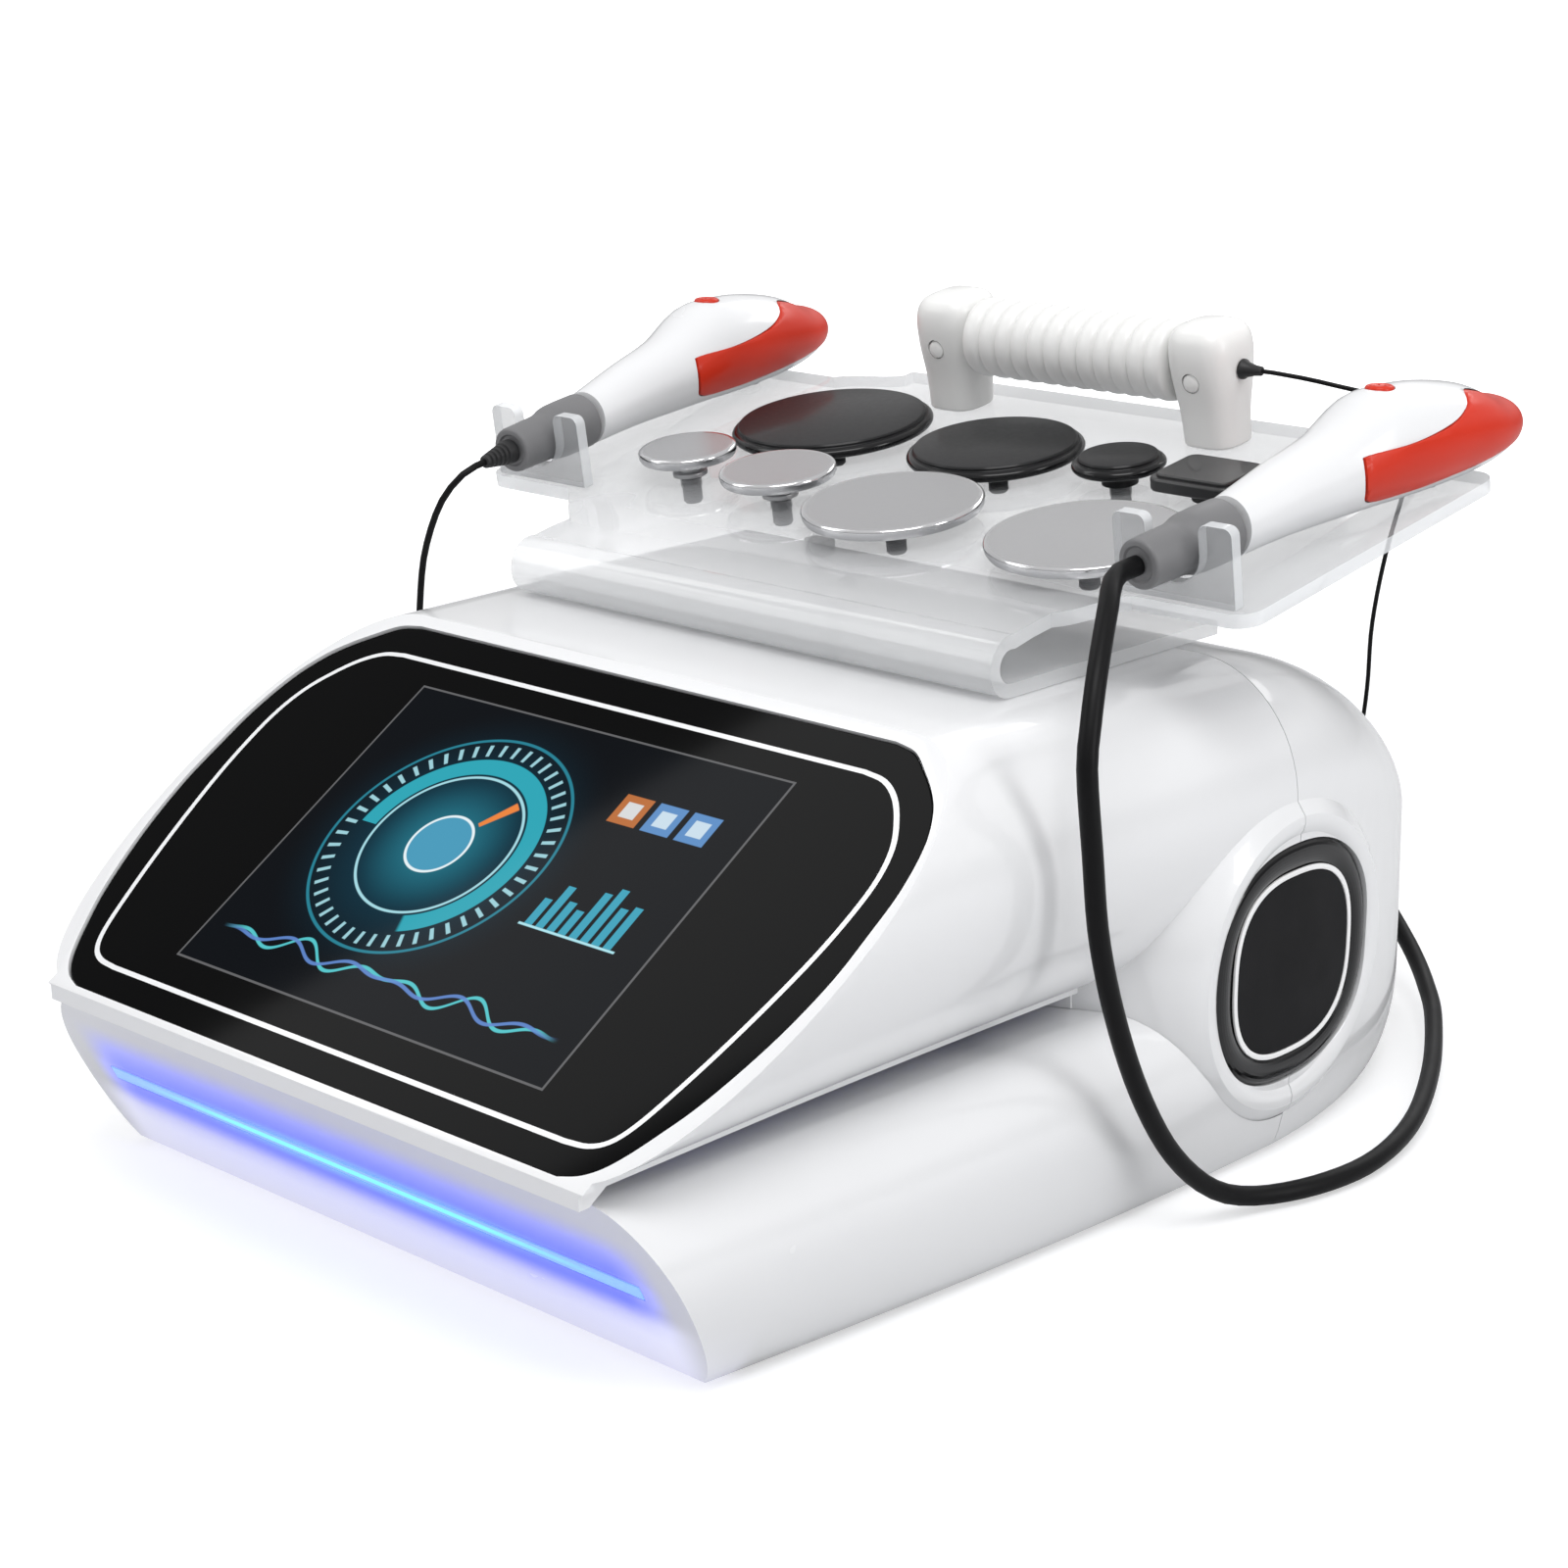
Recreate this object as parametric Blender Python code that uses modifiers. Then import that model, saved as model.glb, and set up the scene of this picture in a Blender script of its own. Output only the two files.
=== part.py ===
"""Tecar therapy machine: cabinet with a touch screen, clear tray with electrodes, handpieces, cords."""
import math

import bmesh
import bpy
from mathutils import Matrix, Vector

# General clearances and walls
GAP = 0.0003
OVERRUN = 0.02
WALL = 0.0028

# Cabinet: places along Y and Z
SCREEN_Y = -0.131
SCREEN_Z = 0.112
SCREEN_TILT = math.radians(32.13)
NOSE_Y = -0.204
SEAM_Y = 0.075
FLOOR_Z = 0.002
PARTING_Z = 0.062
DECK_Z = 0.1595

# Upper housing section
HOUSING_HALF = 0.145
HOUSING_FLARE = 0.0073
FLARE_POWER = 1.5
TOP_CORNER_W = 0.040
TOP_CORNER_H = 0.0425
BELLY_W = 0.034
BELLY_H = 0.049
LIP_H = 0.005
LIP_STEP = 0.0015

# Base section
BASE_FRONT_Y = -0.198
BASE_HALF = 0.134
BASE_FLARE = 0.020
BASE_CORNER_W = 0.022
BASE_CORNER_H = 0.0275
BASE_FOOT_IN = 0.011
BASE_FOOT_FLARE = 0.006
BASE_RAKE = math.radians(27)
SHELF_W = 0.008

# Rear shell
TAIL_REACH = 0.168
TAIL_SHARE = 0.767857
TAIL_Y = SEAM_Y + TAIL_REACH * TAIL_SHARE
TAIL_CENTRE_Z = 0.025
TAIL_X_POWER = 2.3
TAIL_Z_POWER = 1.6

# Round side bosses
BOSS_Y = 0.074
BOSS_Z = 0.066
BOSS_X = 0.1540
BOSS_R = 0.050
BOSS_ROOT_X = 0.100
BOSS_ROOT_R = 0.080
BOSS_RIM_W = 0.008
BOSS_RIM_H = 0.0015
BOSS_SIDES = 32
BOSS_BEND_SHARE = 0.46
SLAB_SHARE = 1.5

# Side caps
CAP_R = 0.0392
CAP_POWER = 2.33
CAP_T = 0.0040
CAP_PROUD = 0.0004
RING_R = 0.0302
RING_POWER = 2.64
RING_W = 0.0016
RING_T = 0.0012
CAP_SIDES = 28

# Touch screen
GLASS_HALF = 0.141
GLASS_HALF_S = 0.083
GLASS_T = 0.003
GLASS_SINK = 0.0008
DISPLAY_W = 0.1662
DISPLAY_H = 0.1257
DISPLAY_T = 0.0045
LEDGE_T = 0.0025
GLASS_SHARES = (
    (0.73, 1.0), (0.79, 0.975), (0.845, 0.904), (0.893, 0.83), (0.935, 0.74), (0.972, 0.60), (0.995, 0.40),
    (1.0, 0.20), (1.0, 0.0), (0.985, -0.22), (0.960, -0.42), (0.929, -0.60), (0.897, -0.73),
    (0.865, -0.843), (0.835, -0.92), (0.80, -0.97), (0.755, -1.0),
)

# Light bar
BAR_HALF = 0.118
BAR_H = 0.0045
BAR_Z = 0.031
BAR_DEPTH = 0.006

# Clear tray: one bent sheet with a curled front edge and two raised wings
TRAY_T = 0.0045
TRAY_TILT = math.radians(9.0)
CURL_R = 0.0098
CURL_Y = -0.0096
CURL_STEPS = 6
LEG_REAR_Y = 0.098
BED_REAR_Y = 0.191
BED_HALF = 0.104
RAMP_W = 0.018
WING_OUT = 0.164
WING_RISE = 0.003
WING_FRONT_Y = 0.025
WING_REAR_Y = 0.166
WING_CORNER_R = 0.008
RAMP_CUT = 0.016
RAMP_CUT_REAR = 0.020

# Forks on the wings
FORK_X = 0.1368
FORK_Y = 0.029
FORK_T = 0.0045
FORK_HALF = 0.0217
FORK_H = 0.0255
FORK_NOTCH = 0.0095
FORK_NOTCH_H = 0.0155
FORK_TIP_R = 0.003

# Electrodes, placed by shares of the bed: across its half width, and along it from the curl
BED_ALONG = 0.190
SEAT_START_SHARE = 0.6
STEM_R = 0.0035
STEM_DROP = 0.010
HUB_R = 0.0062
HUB_H = 0.0016
NECK_SHARE = 0.7
SMALL_RISE = 0.0105
LARGE_RISE = 0.0083
DISC_T = 0.0042
COAT_T = 0.0058
COAT_LIP = 0.0022
COAT_STEP = 0.0014
EDGE_R = 0.0008
TURN_SHARE = 1.5
CHROME_S1_R = 0.0175
CHROME_S2_R = 0.0203
CHROME_L1_R = 0.0306
CHROME_L2_R = 0.0327
BLACK_L1_R = 0.0365
BLACK_L2_R = 0.0310
BLACK_S_R = 0.0160
PLATE_HALF_W = 0.0165
PLATE_HALF_L = 0.0135
PLATE_CORNER_R = 0.005
DISC_SIDES = 24
ELECTRODES = (
    ("chrome_electrode_17", CHROME_S1_R, "chrome", SMALL_RISE),
    ("chrome_electrode_20", CHROME_S2_R, "chrome", SMALL_RISE),
    ("chrome_electrode_31", CHROME_L1_R, "chrome", LARGE_RISE),
    ("chrome_electrode_33", CHROME_L2_R, "chrome", LARGE_RISE),
    ("black_electrode_37", BLACK_L1_R, "coated", LARGE_RISE),
    ("black_electrode_31", BLACK_L2_R, "coated", LARGE_RISE),
    ("black_electrode_16", BLACK_S_R, "coated", SMALL_RISE),
    ("black_plate_electrode", PLATE_HALF_W, "plate", SMALL_RISE),
)
ELECTRODE_SHARES = (
    (-0.938, 0.325), (-0.485, 0.302), (0.055, 0.272), (0.813, 0.279),
    (-0.740, 0.609), (-0.021, 0.611), (0.483, 0.614), (0.84, 0.610),
)

# Handpieces: the joint of collar and body, and the body's sections by shares
HAND_X = 0.1385
HAND_Y = 0.0497
HAND_Z = 0.2075
HAND_YAW = math.radians(5.6)
HAND_PITCH = math.radians(1.3)
HAND_LENGTH = 0.139
HAND_HALF_H = 0.018
HAND_HALF_W = 0.019
HAND_CREST = 0.0151
HAND_SIDES = 16
# Along the body, rise of the centre line, half height, half width
HAND_SHARES = (
    (0.0, 0.0, 0.533, 0.52), (0.165, 0.33, 0.655, 0.63), (0.33, 0.60, 0.79, 0.76), (0.46, 0.93, 1.0, 0.92),
    (0.56, 0.985, 1.01, 0.985), (0.66, 1.0, 0.965, 1.0), (0.795, 0.965, 0.82, 0.95), (0.885, 0.90, 0.60, 0.82),
    (0.955, 0.97, 0.40, 0.60), (1.0, 1.05, 0.17, 0.24),
)
INSERT_DEPTH = 0.0020
INSERT_PROUD = 0.0005
# Side view of the red insert, by shares of the body's length and full height
INSERT_SHARES = (
    (0.385, 0.03), (0.352, 0.16), (0.346, 0.40), (0.366, 0.455), (0.50, 0.51), (0.626, 0.59), (0.698, 0.69),
    (0.742, 0.79), (0.80, 0.76), (0.88, 0.66), (1.05, 0.60), (1.05, 0.42), (0.80, 0.20), (0.64, 0.105),
    (0.51, 0.045),
)
COLLAR_LENGTH = 0.0400
COLLAR_PITCH = math.radians(6.8)
COLLAR_REAR_R = 0.0098
COLLAR_FRONT_R = 0.0080
COLLAR_SLEEVE_R = 0.0070
COLLAR_SIDES = 16
COLLAR_SHARES = (0.55, 0.50, 0.40)
BUTTON_ALONG = 0.072
BUTTON_R = 0.0046
BUTTON_T = 0.0040
BUTTON_PROUD = 0.0010
BUTTON_TRAVEL = 0.0010
SOCKET_ALONG = 0.094
SOCKET_R = 0.0060
SOCKET_BORE_R = 0.0035
SOCKET_T = 0.0080
THREAD_SHARE = 0.75

# Ribbed body handle on the rear of the bed
HANDLE_X = -0.002
HANDLE_Y = 0.166
GRIP_HALF = 0.0435
GRIP_H = 0.027
GRIP_R = 0.0142
GRIP_GROOVE = 0.0016
GRIP_RIBS = 11
GRIP_SIDES = 12
RIB_SHARES = (0.4, 0.2)
POST_X = 0.0560
POST_HALF_X = 0.0122
POST_HALF_Y = 0.0135
POST_H = 0.0425
POST_POWER = 3.0
POST_SIDES = 16
# Height, place outwards, half widths across and along
POST_SHARES = (
    (0.0, 0.035, 0.84, 0.74), (0.28, 0.02, 0.88, 0.82), (0.61, 0.0, 1.0, 1.0), (0.85, -0.01, 1.0, 1.0),
    (0.965, -0.02, 0.80, 0.82), (1.0, -0.02, 0.50, 0.52),
)
POST_SCREW_R = 0.0036
POST_SCREW_T = 0.0020
POST_SCREW_H = 0.024

# Rear panel and what it carries
PANEL_SHARE = 0.735119
PANEL_Y = SEAM_Y + TAIL_REACH * PANEL_SHARE
PANEL_T = 0.0025
VENT_COUNT = 7
VENT_W = 0.0035
VENT_H = 0.046
FAN_X = -0.006
FAN_Z = 0.054
FAN_SIZE = 0.060
FAN_T = 0.018
FAN_BORE_R = 0.0275
FAN_HUB_R = 0.0125
FAN_BOSS_R = 0.0100
FAN_ROTOR_T = 0.012
FAN_BLADES = 7
FAN_BLADE_T = 0.0012
FAN_BLADE_TURN = math.radians(35)
FAN_TIP_PLAY = 0.0012
FAN_STRUT_W = 0.003
FAN_CORNER_SHARE = 0.12
FAN_CHORD_SHARE = 0.42
FAN_ROOT_SHARE = 0.8
ENTRY_X = -0.056
ENTRY_Z = 0.052
ENTRY_W = 0.028
ENTRY_H = 0.050
ENTRY_FLANGE = 0.0025
ENTRY_FLANGE_T = 0.002
ENTRY_DEPTH = 0.022
INLET_W = 0.0225
INLET_H = 0.0165
INLET_Z = -0.011
INLET_DEPTH = 0.016
PIN_W = 0.002
PIN_H = 0.004
PIN_STEP = 0.007
PIN_LENGTH = 0.012
ROCKER_W = 0.0190
ROCKER_H = 0.0125
ROCKER_Z = 0.013
ROCKER_DEPTH = 0.008
# The rocker's end and middle heights above its axis, then its end and middle depths below
ROCKER_SHARES = (0.25, 0.12, -0.3, -0.8)
ROCKER_TURN = math.radians(8)
SOCKET_FLANGE_R = 0.0085
SOCKET_FLANGE_T = 0.0018
SOCKET_BODY_R = 0.0065
SOCKET_BODY_T = 0.012
SOCKET_NOSE_T = 0.0035
JACK_BORE_R = 0.0030
JACK_BORE_DEPTH = 0.009
PLUG_R = 0.0060
PLUG_LENGTH = 0.016
PLUG_NECK_R = 0.0042
PLUG_TAIL_LENGTH = 0.008
PLUG_TAIL_SHARE = 0.8
RIGHT_JACK_X = 0.0685
RIGHT_JACK_Z = 0.0445
HANDLE_JACK_X = 0.0680
HANDLE_JACK_Z = 0.0720
LEFT_JACK_X = -0.0880
LEFT_JACK_Z = 0.0500
PLATE_JACK_X = 0.0410
PLATE_JACK_Z = 0.0400

# Inside
SUPPLY_W = 0.100
SUPPLY_L = 0.160
SUPPLY_H = 0.040
SUPPLY_X = -0.040
SUPPLY_Y = -0.042
GENERATOR_W = 0.080
GENERATOR_L = 0.110
GENERATOR_X = 0.055
GENERATOR_Y = -0.042
GENERATOR_LEG_H = 0.010
GENERATOR_LEG_R = 0.004
BOARD_T = 0.0016
SINK_W = 0.050
SINK_L = 0.060
SINK_BASE_T = 0.005
SINK_FIN_H = 0.022
SINK_FIN_T = 0.0025
SINK_FINS = 6
MAIN_BOARD_W = 0.140
MAIN_BOARD_H = 0.090
MAIN_BOARD_PARTS_T = 0.010
MAIN_BOARD_PARTS_W = 0.050

# Rubber feet
FOOT_R = 0.008
FRONT_FOOT_X = 0.100
FRONT_FOOT_Y = -0.142
REAR_FOOT_X = 0.090
REAR_FOOT_SHARE = 0.166667
REAR_FOOT_Y = SEAM_Y + TAIL_REACH * REAR_FOOT_SHARE
REAR_FOOT_TOP = 0.0022

# Strain reliefs
RELIEF_LENGTH = 0.014
RELIEF_R = 0.0042
RELIEF_SHARE = 0.3
RELIEF_TIP_R = 0.0022
HANDLE_RELIEF_LENGTH = 0.008
HANDLE_RELIEF_R = 0.0035
HANDLE_RELIEF_TIP_R = 0.0016
HANDLE_RELIEF_H = 0.027

# Cords: diameters, and each route's own points from the handpiece or handle to its plug
RIGHT_CORD_D = 0.0063
LEFT_CORD_D = 0.0024
HANDLE_CORD_D = 0.0016
CORD_STEP_SHARE = 2.1
CORD_STEP_LEAST = 0.011
CORD_LEAD_SHARE = 1.2
CORD_LEAD_LEAST = 0.004
# Reach of the tail that the routes were drawn for: they follow the plugs when it changes
ROUTE_REACH = 0.168
RIGHT_ROUTE = (
    (0.1362, -0.0042, 0.1989), (0.1415, -0.0128, 0.1949), (0.1470, -0.0228, 0.1868), (0.1520, -0.0320, 0.1775),
    (0.1556, -0.0388, 0.1665), (0.1580, -0.0430, 0.1550),
    (0.1600, -0.0420, 0.1310), (0.1610, -0.0390, 0.1050), (0.1620, -0.0310, 0.0780), (0.1630, -0.0190, 0.0514),
    (0.1645, -0.0040, 0.0285), (0.1675, 0.0130, 0.0125), (0.1720, 0.0300, 0.0055), (0.1800, 0.0530, 0.0040),
    (0.1830, 0.0810, 0.0040), (0.1770, 0.1140, 0.0055), (0.1660, 0.1430, 0.0125), (0.1506, 0.1680, 0.0205),
    (0.1340, 0.1880, 0.0245), (0.1200, 0.2090, 0.0275), (0.1090, 0.2270, 0.0305), (0.0985, 0.2410, 0.0340),
    (0.0865, 0.2480, 0.0375), (0.0755, 0.2455, 0.0415),
)
LEFT_ROUTE = (
    (-0.1333, -0.0125, 0.1976), (-0.1362, -0.0163, 0.1930), (-0.1405, -0.0182, 0.1862), (-0.1455, -0.0187, 0.1762),
    (-0.1500, -0.0186, 0.1640), (-0.1530, -0.0182, 0.1470),
    (-0.1545, -0.0185, 0.1250), (-0.1555, -0.0165, 0.1000), (-0.1565, -0.0115, 0.0750), (-0.1585, -0.0030, 0.0500),
    (-0.1610, 0.0090, 0.0290), (-0.1645, 0.0240, 0.0130), (-0.1695, 0.0420, 0.0040), (-0.1740, 0.0680, 0.0016),
    (-0.1730, 0.1030, 0.0016), (-0.1640, 0.1380, 0.0016), (-0.1490, 0.1680, 0.0030), (-0.1330, 0.1930, 0.0090),
    (-0.1190, 0.2140, 0.0190), (-0.1075, 0.2285, 0.0310), (-0.0980, 0.2355, 0.0415), (-0.0905, 0.2330, 0.0485),
)
HANDLE_ROUTE = (
    (0.0930, 0.1610, 0.2338), (0.1050, 0.1640, 0.2320), (0.1150, 0.1720, 0.2290), (0.1190, 0.1850, 0.2225),
    (0.1140, 0.1990, 0.2090), (0.1030, 0.2090, 0.1890), (0.0930, 0.2160, 0.1640), (0.0850, 0.2230, 0.1370),
    (0.0790, 0.2320, 0.1120), (0.0735, 0.2380, 0.0930), (0.0695, 0.2370, 0.0790),
)

# Shares where sections are set along the cabinet, and steps round an arc
HOUSING_STATION_SHARES = (0.0, 0.25, 0.5, 0.75, 1.0)
TAIL_STATION_SHARES = (0.0, 0.22, 0.42, 0.6, 0.74, 0.86, 0.94, 1.0)
ARC_STEPS = 6
BELLY_TURN = math.radians(77)

parts = bpy.data.collections.new("tecar_machine")
cutters = bpy.data.collections.new("cutters")


def clear_scene():
    """Take away what the scene starts with."""
    for thing in list(bpy.data.objects):
        bpy.data.objects.remove(thing, do_unlink=True)
    for collection in (parts, cutters):
        bpy.context.scene.collection.children.link(collection)


def material(name, colour, roughness, metallic=0.0):
    """A plain Principled material, made once."""
    found = bpy.data.materials.get(name)
    if found:
        return found
    made = bpy.data.materials.new(name)
    made.use_nodes = True
    shader = made.node_tree.nodes["Principled BSDF"]
    shader.inputs["Base Color"].default_value = (*colour, 1.0)
    shader.inputs["Roughness"].default_value = roughness
    shader.inputs["Metallic"].default_value = metallic
    return made


def white_plastic():
    return material("white_plastic", (0.86, 0.86, 0.87), 0.22)


def black_plastic():
    return material("black_plastic", (0.015, 0.015, 0.016), 0.3)


def clear_acrylic():
    return material("clear_acrylic", (0.85, 0.87, 0.88), 0.08)


def add_mesh(name, bm, finish=None, keep=True, smooth=35):
    """Put a bmesh into the scene as a part, or as a cutter when keep is False."""
    mesh = bpy.data.meshes.new(name)
    bm.to_mesh(mesh)
    bm.free()
    thing = bpy.data.objects.new(name, mesh)
    (parts if keep else cutters).objects.link(thing)
    if finish:
        mesh.materials.append(finish)
    if keep:
        mesh.shade_smooth()
        mesh.set_sharp_from_angle(angle=math.radians(smooth))
    else:
        thing.hide_render = True
        thing.display_type = "WIRE"
    return thing


def loft(name, rings, finish=None, keep=True):
    """A closed solid through rings with equal numbers of points."""
    bm = bmesh.new()
    rows = [[bm.verts.new(point) for point in ring] for ring in rings]
    count = len(rows[0])
    for near, far in zip(rows, rows[1:]):
        for i in range(count):
            j = (i + 1) % count
            bm.faces.new((near[i], near[j], far[j], far[i]))
    bm.faces.new(rows[0])
    bm.faces.new(rows[-1])
    bmesh.ops.recalc_face_normals(bm, faces=bm.faces)
    return add_mesh(name, bm, finish, keep)


def box(name, centre, size, finish=None, keep=True, bevel=0.0):
    """A box by its centre and full size, with its long edges rounded when a bevel is given."""
    bm = bmesh.new()
    bmesh.ops.create_cube(bm, size=1.0)
    bmesh.ops.scale(bm, vec=size, verts=bm.verts)
    if bevel:
        bmesh.ops.bevel(bm, geom=list(bm.edges), offset=bevel, segments=2, affect="EDGES", profile=0.5)
    bmesh.ops.translate(bm, vec=centre, verts=bm.verts)
    return add_mesh(name, bm, finish, keep)


def turned(name, profile, matrix, sides, finish=None, keep=True):
    """A turned solid: profile of (radius, height) from top to bottom, turned about local Z."""
    bm = bmesh.new()
    rings = []
    for radius, height in profile:
        ring = []
        for i in range(sides):
            turn = 2 * math.pi * i / sides
            ring.append(bm.verts.new((radius * math.cos(turn), radius * math.sin(turn), height)))
        rings.append(ring)
    for near, far in zip(rings, rings[1:]):
        for i in range(sides):
            j = (i + 1) % sides
            bm.faces.new((near[i], near[j], far[j], far[i]))
    bm.faces.new(rings[0])
    bm.faces.new(rings[-1])
    bmesh.ops.recalc_face_normals(bm, faces=bm.faces)
    bmesh.ops.transform(bm, matrix=matrix, verts=bm.verts)
    return add_mesh(name, bm, finish, keep)


def prism(name, outline, low, high, matrix, finish=None, keep=True):
    """A flat outline of (x, y) extruded from low to high along local Z."""
    bm = bmesh.new()
    face = bm.faces.new([bm.verts.new((x, y, low)) for x, y in outline])
    raised = bmesh.ops.extrude_face_region(bm, geom=[face])["geom"]
    top = [vert for vert in raised if isinstance(vert, bmesh.types.BMVert)]
    bmesh.ops.translate(bm, vec=(0, 0, high - low), verts=top)
    bmesh.ops.recalc_face_normals(bm, faces=bm.faces)
    bmesh.ops.transform(bm, matrix=matrix, verts=bm.verts)
    return add_mesh(name, bm, finish, keep)


def pivoted(thing, point):
    """Move a piece's origin to a point on its joint's axis, with its shape left in place."""
    point = Vector(point)
    thing.data.transform(Matrix.Translation(-point))
    thing.location = point
    return thing


def boolean(target, tool, operation="DIFFERENCE"):
    """Apply one Boolean to the target and take the tool away."""
    step = target.modifiers.new(operation.lower(), "BOOLEAN")
    step.operation = operation
    step.object = tool
    step.solver = "EXACT"
    graph = bpy.context.evaluated_depsgraph_get()
    done = bpy.data.meshes.new_from_object(target.evaluated_get(graph))
    target.modifiers.clear()
    target.data = done
    bpy.data.objects.remove(tool, do_unlink=True)
    return target


def arc(centre, width, height, start, end, steps=ARC_STEPS):
    """Points on an ellipse between two angles, both ends included."""
    turns = [start + (end - start) * i / steps for i in range(steps + 1)]
    return [(centre[0] + width * math.cos(t), centre[1] + height * math.sin(t)) for t in turns]


def both_halves(half):
    """A closed ring of (x, z) from its right half, given from top to bottom."""
    return half + [(-x, z) for x, z in reversed(half)]


def at_y(outline, y):
    return [Vector((x, y, z)) for x, z in outline]


def housing_half(y):
    """Half width of the upper housing at a place along Y."""
    share = max(0.0, (y - SCREEN_Y) / (SEAM_Y - SCREEN_Y))
    return HOUSING_HALF + HOUSING_FLARE * share ** FLARE_POWER


def housing_ring(y, inset=0.0, bottom=None):
    """Section of the upper housing, or of its cavity when an inset is given."""
    half = housing_half(y)
    shoulder = (half - TOP_CORNER_W, DECK_Z - TOP_CORNER_H)
    belly = (half - BELLY_W, shoulder[1])
    points = arc(shoulder, TOP_CORNER_W - inset, TOP_CORNER_H - inset, math.pi / 2, 0)
    points += arc(belly, BELLY_W - inset, BELLY_H - inset, 0, -BELLY_TURN)[1:]
    lip_x = half - BELLY_W + BELLY_W * math.cos(BELLY_TURN) - inset
    points.append((lip_x, PARTING_Z + LIP_H))
    points.append((lip_x - LIP_STEP, PARTING_Z if bottom is None else bottom))
    return at_y(both_halves(points), y)


def base_half(y):
    share = (y - BASE_FRONT_Y) / (SEAM_Y - BASE_FRONT_Y)
    return BASE_HALF + BASE_FLARE * math.sin(share * math.pi / 2)


def base_lower(half, share, inset=0.0):
    """Lower side of a cabinet section, from its widest point to the floor."""
    foot_in = BASE_FOOT_IN - BASE_FOOT_FLARE * share
    side_z = PARTING_Z - BASE_CORNER_H
    points = []
    for i in range(ARC_STEPS):
        turn = math.pi / 3 * (i + 1) / ARC_STEPS
        rise = math.sin(turn) / math.sin(math.pi / 3)
        drop = (1 - math.cos(turn)) / (1 - math.cos(math.pi / 3))
        points.append((half - inset - foot_in * drop, side_z - (side_z - FLOOR_Z - inset) * rise))
    return points


def base_ring(y, inset=0.0, hatch=False):
    """Section of the base, or of its cavity with an open hatch at the top."""
    half = base_half(y)
    share = max(0.0, (y - BASE_FRONT_Y) / (SEAM_Y - BASE_FRONT_Y))
    top = PARTING_Z - GAP
    centre = (half - BASE_CORNER_W, top - BASE_CORNER_H)
    points = arc(centre, BASE_CORNER_W - inset, BASE_CORNER_H - inset, math.pi / 2, 0)
    points += base_lower(half, share, inset)
    if hatch:
        edge = half - BASE_CORNER_W - SHELF_W
        points = [(edge, top + OVERRUN), (edge, top - inset)] + points
    return at_y(both_halves(points), y)


def slope_matrix(offset=0.0):
    """Frame on the sloped face: local X to the right, local Y up the slope, local Z out of it."""
    place = Matrix.Translation((0, SCREEN_Y, SCREEN_Z))
    return place @ Matrix.Rotation(SCREEN_TILT, 4, "X") @ Matrix.Translation((0, 0, offset))


def above_slope(name, offset):
    """A block that covers everything in front of and above the sloped face."""
    reach = HOUSING_HALF * 2
    outline = [(-reach, -reach), (reach, -reach), (reach, reach), (-reach, reach)]
    return prism(name, outline, 0.0, reach, slope_matrix(offset), keep=False)


def glass_outline(grow=0.0):
    half = [(x * GLASS_HALF + grow, s * GLASS_HALF_S + (grow if s > 0 else -grow)) for x, s in GLASS_SHARES]
    return both_halves(half)


def boss_matrix(side):
    """Frame of a side boss: local Z points outwards along X."""
    return Matrix.Translation((0, BOSS_Y, BOSS_Z)) @ Matrix.Rotation(side * math.pi / 2, 4, "Y")


def boss_profile(grow=0.0):
    rim_in = BOSS_R - BOSS_RIM_W
    crest = BOSS_X + BOSS_RIM_H + grow
    return [
        (rim_in, crest - BOSS_RIM_H), (rim_in + BOSS_RIM_W / 4, crest), (BOSS_R - BOSS_RIM_W / 4, crest),
        (BOSS_R + grow, crest - BOSS_RIM_H), (BOSS_R + BOSS_RIM_W / 3 + grow, crest - BOSS_RIM_W / 2),
        (BOSS_R + (BOSS_ROOT_R - BOSS_R) / 2 + grow, BOSS_X - (BOSS_X - BOSS_ROOT_X) * BOSS_BEND_SHARE),
        (BOSS_ROOT_R + grow, BOSS_ROOT_X),
    ]


def boss(name, side, grow=0.0, reach_out=False, sides=BOSS_SIDES):
    """A side boss, or with reach_out the cutter that clears everything outside it too."""
    profile = boss_profile(grow)
    if reach_out:
        profile = [(BOSS_R + grow, BOSS_X + OVERRUN)] + profile[3:]
    return turned(name, profile, boss_matrix(side), sides, keep=False)


def squircle(radius, power, sides=CAP_SIDES):
    """A rounded square of the cap, ring and disc."""
    points = []
    for i in range(sides):
        turn = 2 * math.pi * i / sides
        c, s = math.cos(turn), math.sin(turn)
        reach = radius / (abs(c) ** power + abs(s) ** power) ** (1 / power)
        points.append((reach * c, reach * s))
    return points


def slab(name, y_low, y_high, z_low, z_high, half=BOSS_X * SLAB_SHARE):
    """A block across the whole width, used to keep or remove one end of a shape."""
    centre = (0, (y_low + y_high) / 2, (z_low + z_high) / 2)
    return box(name, centre, (half * 2, y_high - y_low, z_high - z_low), keep=False)


def boss_half(name, side, front, inset=0.0):
    """Front or rear half of a side boss, or of its hollow when an inset is given."""
    shape = boss(name, side, -inset, sides=BOSS_SIDES // 2 if inset else BOSS_SIDES)
    if inset:
        shape.data.transform(Matrix.Translation((-side * inset, 0, 0)))
    low = NOSE_Y if front else SEAM_Y + GAP / 2 - (OVERRUN if inset else 0)
    high = SEAM_Y - GAP / 2 + (OVERRUN if inset else 0) if front else TAIL_Y
    floor = FLOOR_Z + (inset if inset else 0)
    return boolean(shape, slab(name + "_keep", low, high, floor, DECK_Z + OVERRUN), "INTERSECT")


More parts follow.
